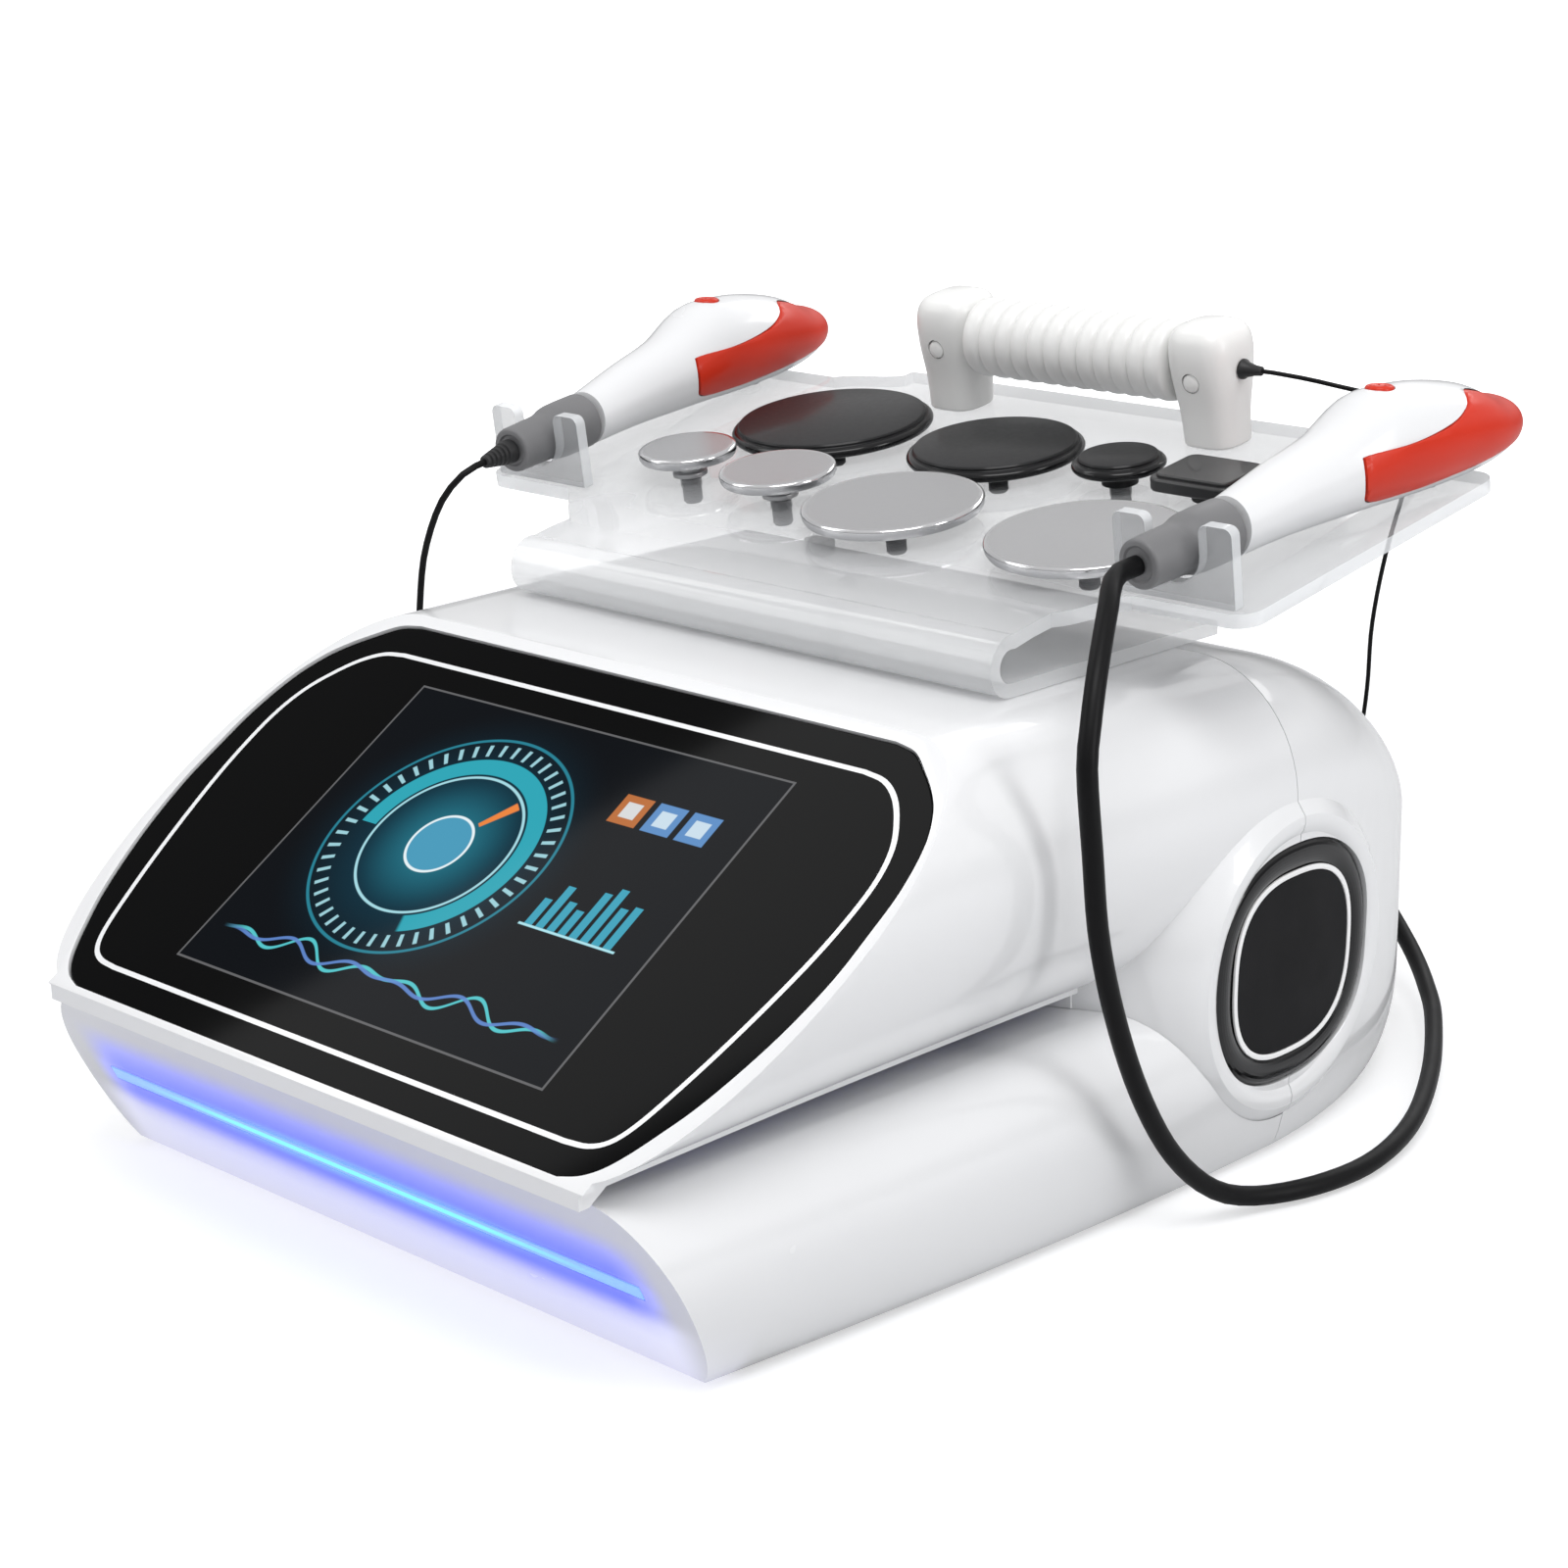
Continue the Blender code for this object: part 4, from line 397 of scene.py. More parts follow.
def copied(thing, name, matrix):
    """A copy with its own mesh, moved by a matrix."""
    made = thing.copy()
    made.data = thing.data.copy()
    bpy.context.scene.collection.objects.link(made)
    made.name = name
    return placed(made, matrix)


def covered(thing, finish):
    thing.data.materials.clear()
    thing.data.materials.append(finish)


def fitted(thing, finish, slot, replaces=None, body="cabinet"):
    """Give a piece its material and its body, and hide the node that it stands for; its slot is not used."""
    if finish:
        covered(thing, finish)
    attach(thing, body)
    if replaces:
        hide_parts(replaces)
    return thing


def finished(thing, name, finish, slot, replaces=None, body="cabinet", place=None, angle=30):
    """Move a piece to its place, clean it up, name it and fit it."""
    if place:
        placed(thing, place)
    return fitted(tidy(thing, name, angle), finish, slot, replaces, body)


def painted(nodes, finish):
    """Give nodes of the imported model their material."""
    for node in nodes.split():
        covered(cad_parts[node], finish)


def stations(low, high, count):
    return [low + (high - low) * i / count for i in range(count + 1)]


def arc(centre, width, height, start, end, steps):
    return [(centre[0] + width * math.cos(t), centre[1] + height * math.sin(t)) for t in stations(start, end, steps)]


def upright(x, y, z):
    """A place whose own Z axis points to the front."""
    return Matrix.Translation((x, y, z)) @ Matrix.Rotation(math.pi / 2, 4, "X")


def aimed(point, aim):
    """A place just off a point, whose own Z axis runs along a direction."""
    return Matrix.Translation(point + aim * GAP) @ aim.to_track_quat("Z", "Y").to_matrix().to_4x4()


def both_halves(half):
    return half + [(-x, z) for x, z in reversed(half)]


def length(name, default, description):
    return FloatProperty(name=name, description=description, default=default, unit="LENGTH")


def colour(name, default, description):
    return FloatVectorProperty(name=name, description=description, default=default, subtype="COLOR", min=0, max=1)


class TecarSizes(PropertyGroup):
    """Sizes of the finer forms that the looks add."""

    edge_round: length("Edge rounding", 0.0016, "Rounding of the housing's sharp edges")
    line_width: length("Printed line", 0.0017, "Width of the white line printed on the glass")
    rib_count: IntProperty(name="Grip ribs", description="Ribs round the grip of the body handle", default=11)
    cord_thick: length("Thick cord", 0.0063, "Diameter of the right handpiece's cord")
    cord_thin: length("Thin cord", 0.0024, "Diameter of the left handpiece's cord")
    cord_handle: length("Handle cord", 0.0016, "Diameter of the body handle's cord")


class TecarColours(PropertyGroup):
    """Colours of the main finishes."""

    shell: colour("Shell", (0.80, 0.805, 0.815), "Glossy moulded shells")
    accent: colour("Accent", (0.70, 0.035, 0.012), "Inserts and buttons of the handpieces")
    collar: colour("Collar", (0.17, 0.17, 0.175), "Grey collars of the handpieces")
    glow: colour("Glow", (0.075, 0.11, 1.0), "Light band below the screen")
    glow_core: colour("Glow core", (0.06, 0.55, 0.95), "Thin bright line of the light band")
    picture: colour("Picture", (0.02, 0.22, 0.30), "Main tint of the lit picture")


def sizes():
    return bpy.context.scene.tecar_sizes


def colours():
    return bpy.context.scene.tecar_colours


def shell_finish(name="white_shell"):
    """White gloss plastic under a clear coat, with the faint waves of moulded skin."""
    finish = Finish(name, colours().shell, 0.24, Coat_Weight=0.7, Coat_Roughness=0.05, Specular_IOR_Level=0.5)
    finish.vary(0.2, 0.3, 30.0)
    return finish


def housing_half(y):
    share = max(0.0, (y - SCREEN_Y) / (SEAM_Y - SCREEN_Y))
    return 0.145 + 0.0073 * share ** 1.5


def housing_section(y, inset=0.0, steps=14):
    """Section of the upper housing: flat top, round shoulder, belly and lip, or of its hollow."""
    half = housing_half(y)
    shoulder = (half - SHOULDER_W, DECK_Z - SHOULDER_H)
    belly = (half - BELLY_W, shoulder[1])
    turn = math.radians(77)
    points = [(CREST_X, DECK_Z - inset)]
    points += arc(shoulder, SHOULDER_W - inset, SHOULDER_H - inset, math.pi / 2, 0, steps)
    points += arc(belly, BELLY_W - inset, BELLY_H - inset, 0, -turn, steps)[1:]
    lip_x = half - BELLY_W + (BELLY_W - inset) * math.cos(turn)
    if inset:
        points.append((lip_x, PARTING_Z - 0.005))
    else:
        points += [(lip_x, PARTING_Z + 0.005), (lip_x - 0.0015, PARTING_Z + 0.0046), (lip_x - 0.0015, PARTING_Z)]
    return [Vector((x, y, z)) for x, z in both_halves(points)]


def base_half(y):
    share = (y - BASE_FRONT_Y) / (SEAM_Y - BASE_FRONT_Y)
    return 0.134 + 0.020 * math.sin(share * math.pi / 2)


def lower_side(half, share, steps):
    """Lower side of a cabinet section, from its widest point to the floor."""
    foot_in = 0.011 - 0.006 * share
    side_z = PARTING_Z - SIDE_DROP
    points = []
    for i in range(steps):
        turn = math.pi / 3 * (i + 1) / steps
        rise = math.sin(turn) / math.sin(math.pi / 3)
        drop = (1 - math.cos(turn)) * 2
        points.append((half - foot_in * drop, side_z - (side_z - FLOOR_Z) * rise))
    return points


def base_section(y, inset=0.0, steps=12):
    """Section of the base, or of its hollow."""
    half = base_half(y)
    share = max(0.0, (y - BASE_FRONT_Y) / (SEAM_Y - BASE_FRONT_Y))
    top = PARTING_Z - GAP
    points = [(CREST_X, top - inset)]
    points += arc((half - 0.022, top - SIDE_DROP), 0.022 - inset, SIDE_DROP - inset, math.pi / 2, 0, steps)
    squeeze = 1 - inset / (PARTING_Z - SIDE_DROP - FLOOR_Z)
    for x, z in lower_side(half, share, steps) + [(CREST_X + inset, FLOOR_Z)]:
        points.append((x - inset, FLOOR_Z + inset + (z - FLOOR_Z) * squeeze))
    return [Vector((x, y, z)) for x, z in both_halves(points)]


def tail_section(y, inset=0.0, steps=14):
    """Section of the rear shell, drawn in towards the back."""
    half = housing_half(SEAM_Y)
    share = max(0.0, (y - SEAM_Y) / 0.168)
    wide = (1 - share ** 2.3) ** (1 / 2.3)
    tall = (1 - share ** 1.6) ** (1 / 1.6)
    points = [(CREST_X, DECK_Z)]
    points += arc((half - SHOULDER_W, DECK_Z - SHOULDER_H), SHOULDER_W, SHOULDER_H, math.pi / 2, 0, steps)
    points.append((base_half(SEAM_Y), PARTING_Z - SIDE_DROP))
    points += lower_side(base_half(SEAM_Y), 1.0, steps) + [(CREST_X, FLOOR_Z)]
    centre = TAIL_END_Z + ((DECK_Z + FLOOR_Z) / 2 - TAIL_END_Z) * tall
    reach = (DECK_Z - FLOOR_Z) / 2 * tall
    shaped = []
    for x, z in points:
        high = TAIL_END_Z + (z - TAIL_END_Z) * tall
        shaped.append((x * wide * (1 - inset / (half * wide)), centre + (high - centre) * (1 - inset / reach)))
    return [Vector((x, y, z)) for x, z in both_halves(shaped)]


def slope(offset=0.0):
    """Frame on the sloped face: X to the right, Y up the slope, Z out of it."""
    place = Matrix.Translation((0, SCREEN_Y, SCREEN_Z)) @ Matrix.Rotation(SCREEN_TILT, 4, "X")
    return place @ Matrix.Translation((0, 0, offset))


def boss_frame(side):
    return Matrix.Translation((0, BOSS_Y, BOSS_Z)) @ Matrix.Rotation(side * math.pi / 2, 4, "Y")


def rounded_square(radius, power, sides=96, wide=1.0):
    points = []
    for i in range(sides):
        turn = 2 * math.pi * i / sides
        c, s = math.cos(turn), math.sin(turn)
        reach = radius / (abs(c) ** power + abs(s) ** power) ** (1 / power)
        points.append((reach * c, reach * s * wide))
    return points


def boss_solid(side, grow=0.0, outside=False):
    """A round side boss with its raised rim and hollow flank, or the cutter round it."""
    crest = BOSS_X + 0.0015
    flank = [(BOSS_R + grow, BOSS_X), (BOSS_R + 0.0022 + grow, BOSS_X - 0.0016)]
    for i in range(1, 13):
        share = i / 12
        bend = 0.46 * 2 * share * (1 - share) + share ** 2 - 0.10 * math.sin(share * math.pi)
        flank.append((BOSS_R + 0.0022 + 0.0278 * share + grow, BOSS_X - 0.0016 - 0.0524 * bend))
    if outside:
        profile = [(BOSS_R + grow, BOSS_X + 0.02)] + flank
    else:
        profile = [(BOSS_R - 0.008, BOSS_X), (BOSS_R - 0.0068, BOSS_X + 0.0008), (BOSS_R - 0.0045, crest),
                   (BOSS_R - 0.0018, crest - 0.0002)] + flank
    return placed(turned("boss", profile, 96), boss_frame(side))


def block(low, high):
    """A plain block used up as a cutter."""
    begin()
    size = Vector(high) - Vector(low)
    bpy.ops.mesh.primitive_cube_add(size=1, location=(Vector(high) + Vector(low)) / 2)
    thing = bpy.context.object
    thing.scale = size
    return applied(thing)


def inner_boss(side):
    """Hollow of a boss, which leaves a wall round it."""
    return placed(boss_solid(side, -SHELL_T), Matrix.Translation((side * -0.0075, 0, 0)))


def join_bosses(shell, front, back):
    """Join both side bosses to a shell, trimmed to a reach from front to back."""
    for side in (1, -1):
        boss = boss_solid(side)
        cut(boss, block((-FAR, front, FLOOR_Z), (FAR, back, DECK_Z + 0.02)), "INTERSECT")
        cut(shell, boss, "UNION")


def slab(low, high, front, place):
    """A very wide block from low to high, up to a front edge, moved by a matrix."""
    return placed(raised("slab", [(-FAR, -FAR), (FAR, -FAR), (FAR, front), (-FAR, front)], low, high), place)


def cap_well(side):
    """Hollow of a boss that takes its cap."""
    tool = raised("well", rounded_square(0.0395, CAP_POWER, wide=CAP_WIDE), BOSS_X - 0.0039, BOSS_X + 0.02)
    return placed(tool, boss_frame(side))


GLASS_SHARES = (
    (0.73, 1.0), (0.79, 0.975), (0.845, 0.904), (0.893, 0.83), (0.935, 0.74), (0.972, 0.60), (0.995, 0.40),
    (1.0, 0.20), (1.0, 0.0), (0.985, -0.22), (0.960, -0.42), (0.929, -0.60), (0.897, -0.73),
    (0.865, -0.843), (0.835, -0.92), (0.80, -0.97), (0.755, -1.0),
)


def spline(a, b, c, d, t):
    """A point between b and c on the smooth curve through four points."""
    return 0.5 * (2 * b + (c - a) * t + (2 * a - 5 * b + 4 * c - d) * t ** 2 + (3 * b - a - 3 * c + d) * t ** 3)


def smooth_outline(points, steps=6):
    """A closed outline with its corners drawn round by a smooth curve through its points."""
    count = len(points)
    made = []
    for i in range(count):
        a, b, c, d = (Vector(points[(i + k) % count]) for k in (-1, 0, 1, 2))
        if (c - b).length > 0.08:
            made.append(tuple(b))
            continue
        if (b - a).length > 0.08:
            a = b * 2 - c
        if (d - c).length > 0.08:
            d = c * 2 - b
        made += [tuple(spline(a, b, c, d, k / steps)) for k in range(steps)]
    return made


def glass_outline(grow=0.0):
    half = [(x * 0.141 + grow, s * 0.083 + (grow if s > 0 else -grow)) for x, s in GLASS_SHARES]
    return smooth_outline(both_halves(half))


def clearance(point, outline):
    """Distance in the plane from a point to a closed outline."""
    least = 1.0
    for a, b in zip(outline, outline[1:] + outline[:1]):
        run = b - a
        share = min(1.0, max(0.0, (point - a).dot(run) / run.dot(run)))
        least = min(least, (point - a - run * share).length)
    return least


class TECAR_OT_housing(Operator):
    """Build the upper housing with its sloped face, side bosses and the recess for the glass"""

    bl_idname = "tecar.housing"
    bl_label = "Upper housing"

    def execute(self, context):
        finish = shell_finish().material
        end = SEAM_Y - GAP / 2
        shell = skinned("housing_shell", [housing_section(y) for y in stations(NOSE_Y, end, 28)])
        join_bosses(shell, NOSE_Y, end - 0.00005)
        cut(shell, slab(0, FAR, FAR, slope(0.0008)))
        hollow = skinned("hollow", [housing_section(y, SHELL_T) for y in stations(NOSE_Y + SHELL_T, end + 0.005, 20)])
        cut(hollow, slab(0, FAR, FAR, slope(-GLASS_T - LEDGE_T)))
        for side in (1, -1):
            lower = boss_solid(side, 0.0006)
            cut(lower, block((-FAR, -FAR, -0.1), (FAR, FAR, PARTING_Z + 0.0052)), "INTERSECT")
            cut(hollow, lower)
        cut(shell, hollow)
        for side in (1, -1):
            cut(shell, inner_boss(side))
        cut(shell, placed(raised("recess", glass_outline(GAP), -GLASS_T - GAP, 0.02), slope()))
        for side in (1, -1):
            cut(shell, cap_well(side))
        outline = [Vector(point) for point in glass_outline(GAP)]
        turn = slope(0.0008).inverted()

        def weight(near, far):
            if abs(near.y - SEAM_Y) < 0.001 and abs(far.y - SEAM_Y) < 0.001:
                return 0.3
            a, b = turn @ near, turn @ far
            if abs(a.z) > 0.00002 or abs(b.z) > 0.00002:
                return 0.0
            room = clearance(((a + b) / 2).xy, outline)
            return 0.15 if room < 0.0002 else min(1.0, 0.55 * room / sizes().edge_round)

        softened(shell, sizes().edge_round, 3, 2, weight)
        finished(shell, "housing_shell", finish, "white_shell", "upper_housing", angle=28)
        return {"FINISHED"}


class TECAR_OT_base(Operator):
    """Build the base with its raked front face and the glow round the light bar"""

    bl_idname = "tecar.base"
    bl_label = "Base"

    def execute(self, context):
        end = SEAM_Y - GAP / 2
        shell = skinned("base_body", [base_section(y) for y in stations(BASE_FRONT_Y, end, 24)])
        cut(shell, slab(-FAR, FAR, 0, RAKE_FRAME))
        hollow = skinned("hollow", [base_section(y, SHELL_T) for y in stations(BASE_FRONT_Y, end + 0.005, 20)])
        cut(hollow, slab(-FAR, FAR, SHELL_T, RAKE_FRAME))
        cut(shell, hollow)
        cut(shell, block((-0.1, BASE_FRONT_Y + 0.02, PARTING_Z - 0.01), (0.1, end + 0.01, PARTING_Z + 0.01)))
        for side in (1, -1):
            cut(shell, boss_solid(side, GAP, True))
        cut(shell, block((-0.1183, SLOT_Y - 0.01, BAR_Z - 0.0026), (0.1183, SLOT_Y + 0.0065, BAR_Z + 0.0026)))

        def weight(near, far):
            middle = (near + far) / 2
            if abs(middle.y - end) < 0.001:
                return 0.2
            outline = [point.xz for point in base_section(middle.y)]
            behind = middle.y - BASE_FRONT_Y - (PARTING_Z - middle.z) * math.tan(BASE_RAKE)
            if behind > 0.0015 and (clearance(middle.xz, outline) > 0.0015 or abs(middle.x) < 0.1001):
                return 0.0
            return 0.08 if abs(middle.z - BAR_Z) < 0.004 and abs(middle.x) < 0.1190 else 1.0

        softened(shell, sizes().edge_round * 1.6, 4, 32, weight)
        finished(shell, "base_body", self.glowing(), "white_shell", "base_shell", angle=28)
        return {"FINISHED"}

    def glowing(self):
        """The shell's own finish, with light of the bar spread over the raked face round it."""
        finish = shell_finish("base_glow")
        x, y, z = finish.axes(finish.place())
        along = finish.step(abs(x), 0.129, 0.108)
        above = finish.step(z, 0.052, 0.033) * finish.step(z, 0.012, 0.026)
        front = finish.step(y, SLOT_Y + 0.030, SLOT_Y + 0.022)
        mask = along * above * front
        wide = finish.step(abs(x), 0.140, 0.09) * finish.step(z, 0.060, 0.03) * finish.step(z, 0.002, 0.022) * front
        finish.feed("Base Color", finish.mixed(mask, finish.mixed(wide * 0.30, colours().shell, (0.42, 0.45, 0.95)),
                                               (0.10, 0.12, 0.7)))
        light = finish.mixed(mask, (0, 0, 0), colours().glow)
        near = finish.mixed(finish.step(abs(x), 0.10, 0.02), (0.09, 0.12, 0.9), (0.12, 0.36, 1.0))
        pale = finish.step(z, 0.026, 0.018) * front * finish.step(abs(x), 0.138, 0.118)
        lit = finish.mixed(pale, light, (0.34, 0.34, 0.46))
        return finish.glow(finish.mixed(finish.step(abs(z - BAR_Z), 0.006, 0.0018) * mask, lit, near)).material


class TECAR_OT_rear(Operator):
    """Build the rounded rear shell, open at the back, with the rear halves of the bosses"""

    bl_idname = "tecar.rear"
    bl_label = "Rear shell"

    def execute(self, context):
        low = SEAM_Y + GAP / 2
        ys = [low + (TAIL_Y - low) * math.sin(share * math.pi / 2) for share in stations(0.0, 1.0, 26)]
        shell = skinned("tail_shell", [tail_section(y) for y in ys])
        join_bosses(shell, low + 0.00005, TAIL_Y)
        hollow = [low - 0.005] + ys[2:] + [TAIL_Y + 0.005]
        cut(shell, skinned("hollow", [tail_section(y, SHELL_T) for y in hollow]))
        for side in (1, -1):
            cut(shell, inner_boss(side))
        for side in (1, -1):
            cut(shell, cap_well(side))
        softened(shell, 0.0008, 2, 40)
        finished(shell, "tail_shell", shell_finish("rear_white").material, "white_shell", "rear_shell", angle=28)
        return {"FINISHED"}


class TECAR_OT_side_caps(Operator):
    """Build the black bezels, white rings and matt discs of both side caps"""

    bl_idname = "tecar.side_caps"
    bl_label = "Side caps"

    def execute(self, context):
        gloss = moulded("black_gloss", (0.0035, 0.0035, 0.004), 0.16, 500.0, 0.02, Specular_IOR_Level=0.3,
                        Coat_Weight=0.3, Coat_Roughness=0.06).material
        white = moulded("white_trim", (0.92, 0.92, 0.92), 0.3).material
        matt = moulded("black_matt", (0.009, 0.009, 0.010), 0.55, 1400.0, 0.12, Specular_IOR_Level=0.12).material
        face = BOSS_X + 0.0004
        for side, label in SIDES:
            place = boss_frame(side)
            bezel = self.layer(0.0392, CAP_POWER, face - 0.004, face - 0.0016)
            edit("DESELECT")
            leave()
            top = max(bezel.data.polygons, key=lambda polygon: polygon.center.z)
            top.select = True
            bpy.ops.object.mode_set(mode="EDIT")
            turns = stations(0, math.pi * 11 / 12, 11)
            for low, high in zip(turns, turns[1:]):
                bpy.ops.mesh.inset(thickness=0.0042 * (math.cos(low) - math.cos(high)))
                bpy.ops.transform.translate(value=(0, 0, 0.0018 * (math.sin(high) - math.sin(low))))
            leave()
            cut(tidy(bezel, "bezel", 50), self.layer(0.0308, RING_POWER, face - 0.0012, face + 0.01))
            finished(bezel, f"{label}_bezel", gloss, "black_gloss", f"{label}_cap_bezel", place=place, angle=50)
            ring = self.layer(0.0306, RING_POWER, face - 0.0009, face)
            cut(ring, self.layer(0.0289, RING_POWER, face - 0.01, face + 0.01))
            disc = self.layer(0.0287, RING_POWER, face - 0.0009, face - 0.0002)
            for piece, part, finish, slot in ((ring, "ring", white, "white_trim"), (disc, "disc", matt, "black_matt")):
                softened(piece, 0.0002, 2)
                finished(piece, f"{label}_{part}", finish, slot, f"{label}_cap_{part}", place=place)
        return {"FINISHED"}

    def layer(self, radius, power, low, high):
        return raised("layer", rounded_square(radius, power, wide=CAP_WIDE), low, high)


RIGHT_ROUTE = (
    (0.1362, -0.0042, 0.1989), (0.1415, -0.0128, 0.1949), (0.1470, -0.0228, 0.1868), (0.1520, -0.0320, 0.1775),
    (0.1556, -0.0388, 0.1665), (0.1580, -0.0430, 0.1550),
    (0.1600, -0.0420, 0.1310), (0.1610, -0.0390, 0.1050), (0.1620, -0.0310, 0.0780), (0.1630, -0.0190, 0.0514),
    (0.1645, -0.0040, 0.0285), (0.1675, 0.0130, 0.0125), (0.1720, 0.0300, 0.0055), (0.1800, 0.0530, 0.0040),
    (0.1830, 0.0810, 0.0040), (0.1770, 0.1140, 0.0055), (0.1600, 0.1535, 0.0075), (0.1375, 0.1920, 0.0100),
    (0.1222, 0.2120, 0.0125), (0.1090, 0.2260, 0.0160), (0.0968, 0.2360, 0.0205), (0.0860, 0.2425, 0.0262),
    (0.0775, 0.2450, 0.0330), (0.0715, 0.2425, 0.0400),
)
LEFT_ROUTE = (
    (-0.1333, -0.0125, 0.1976), (-0.1362, -0.0163, 0.1930), (-0.1405, -0.0182, 0.1862), (-0.1455, -0.0187, 0.1762),
    (-0.1500, -0.0186, 0.1640), (-0.1530, -0.0182, 0.1470),
    (-0.1545, -0.0185, 0.1250), (-0.1555, -0.0165, 0.1000), (-0.1565, -0.0115, 0.0750), (-0.1585, -0.0030, 0.0500),
    (-0.1610, 0.0090, 0.0290), (-0.1645, 0.0240, 0.0130), (-0.1695, 0.0420, 0.0040), (-0.1740, 0.0680, 0.0016),
    (-0.1730, 0.1030, 0.0016), (-0.1640, 0.1380, 0.0016), (-0.1490, 0.1680, 0.0030), (-0.1330, 0.1930, 0.0090),
    (-0.1190, 0.2140, 0.0190), (-0.1075, 0.2285, 0.0310), (-0.0980, 0.2355, 0.0415), (-0.0905, 0.2330, 0.0485),
)
HANDLE_ROUTE = (
    (0.0930, 0.1610, 0.2338), (0.1050, 0.1640, 0.2320), (0.1150, 0.1720, 0.2290), (0.1190, 0.1850, 0.2225),
    (0.1140, 0.1990, 0.2090), (0.1030, 0.2090, 0.1890), (0.0930, 0.2160, 0.1640), (0.0850, 0.2230, 0.1370),
    (0.0790, 0.2320, 0.1120), (0.0735, 0.2380, 0.0930), (0.0695, 0.2370, 0.0790),
)


def hand_frame(side=1):
    """Frame of a handpiece: Y runs along the body from the collar's joint to the head."""
    turn = Matrix.Rotation(math.radians(-5.6), 4, "Z") @ Matrix.Rotation(math.radians(1.3), 4, "X")
    place = Matrix.Translation((0.1385, 0.0497, 0.2075)) @ turn
    return place if side > 0 else Matrix.Scale(-1, 4, Vector((1, 0, 0))) @ place


def collar_front(side):
    """Free end of a collar, and the direction that its cord leaves in."""
    lean = hand_frame() @ COLLAR_LEAN
    point = lean @ Vector((0, -COLLAR_LENGTH, 0))
    aim = (lean.to_3x3() @ Vector((0, -1, 0))).normalized()
    return Vector((side * point.x, point.y, point.z)), Vector((side * aim.x, aim.y, aim.z))


def bed_z(y):
    end_y = CURL_Y - CURL_R * math.sin(TRAY_TILT)
    end_z = DECK_Z + GAP + CURL_R + CURL_R * math.cos(TRAY_TILT)
    return end_z + (y - end_y) * math.tan(TRAY_TILT)


def sheet_z(x, y):
    ramp = min(1.0, max(0.0, (abs(x) - BED_HALF) / 0.018))
    return bed_z(y) + 0.003 * (3 * ramp ** 2 - 2 * ramp ** 3)


def on_bed(x, y, lift=0.0):
    """Frame on the sheet's top face, with Z square to the bed."""
    place = Matrix.Translation((x, y, sheet_z(x, y))) @ Matrix.Rotation(TRAY_TILT, 4, "X")
    return place @ Matrix.Translation((0, 0, lift))


def handle_frame():
    return on_bed(-0.002, 0.166, GAP)


def handle_exit():
    """Where the handle's cord leaves its post, and the direction."""
    return handle_frame() @ Vector((POST_X + 0.0122, 0, GRIP_Z)), Vector((1, 0, 0))


def panel_frame(x, z):
    """Frame on the rear panel's face, with Z out of it."""
    return Matrix.Translation((x, PANEL_Y, z)) @ Matrix.Rotation(-math.pi / 2, 4, "X")


def smooth_route(points, step):
    """Points about one step apart on a smooth curve through a route."""
    knots = [Vector(p) for p in points]
    padded = [knots[0] * 2 - knots[1]] + knots + [knots[-1] * 2 - knots[-2]]
    fine = []
    for i in range(1, len(padded) - 2):
        a, b, c, d = padded[i - 1:i + 3]
        fine += [spline(a, b, c, d, k / 12) for k in range(12)]
    fine.append(knots[-1])
    lengths = [0.0]
    for a, b in zip(fine, fine[1:]):
        lengths.append(lengths[-1] + (b - a).length)
    count = max(2, round(lengths[-1] / step))
    made = []
    j = 0
    for i in range(count + 1):
        want = lengths[-1] * i / count
        while j < len(fine) - 2 and lengths[j + 1] < want:
            j += 1
        made.append(fine[j].lerp(fine[j + 1], (want - lengths[j]) / (lengths[j + 1] - lengths[j])))
    return made


def laid_cord(label, point, aim, route, jack, diameter, finish):
    """A cord along its route, from where it leaves its piece to its plug."""
    x, z = jack
    reach = PANEL_Y + PLUG_HIGH + 0.008 + GAP
    lead = point + aim * max(diameter * 1.2, 0.004)
    line = [point] + smooth_route([lead, *route, (x, reach + 0.006, z)], 0.006) + [Vector((x, reach, z))]
    name = f"{label}_lead"
    curve = bpy.data.curves.new(name, "CURVE")
    curve.dimensions = "3D"
    curve.bevel_depth = diameter / 2
    curve.bevel_resolution = 6
    curve.use_fill_caps = True
    spline = curve.splines.new("POLY")
    spline.points.add(len(line) - 1)
    for knot, place in zip(spline.points, line):
        knot.co = (*place, 1.0)
    cord = linked(name, curve)
    curve.materials.append(finish)
    fitted(cord, None, "cord_rubber", f"{label}_cord")
    run = sum((b - a).length for a, b in zip(line, line[1:]))


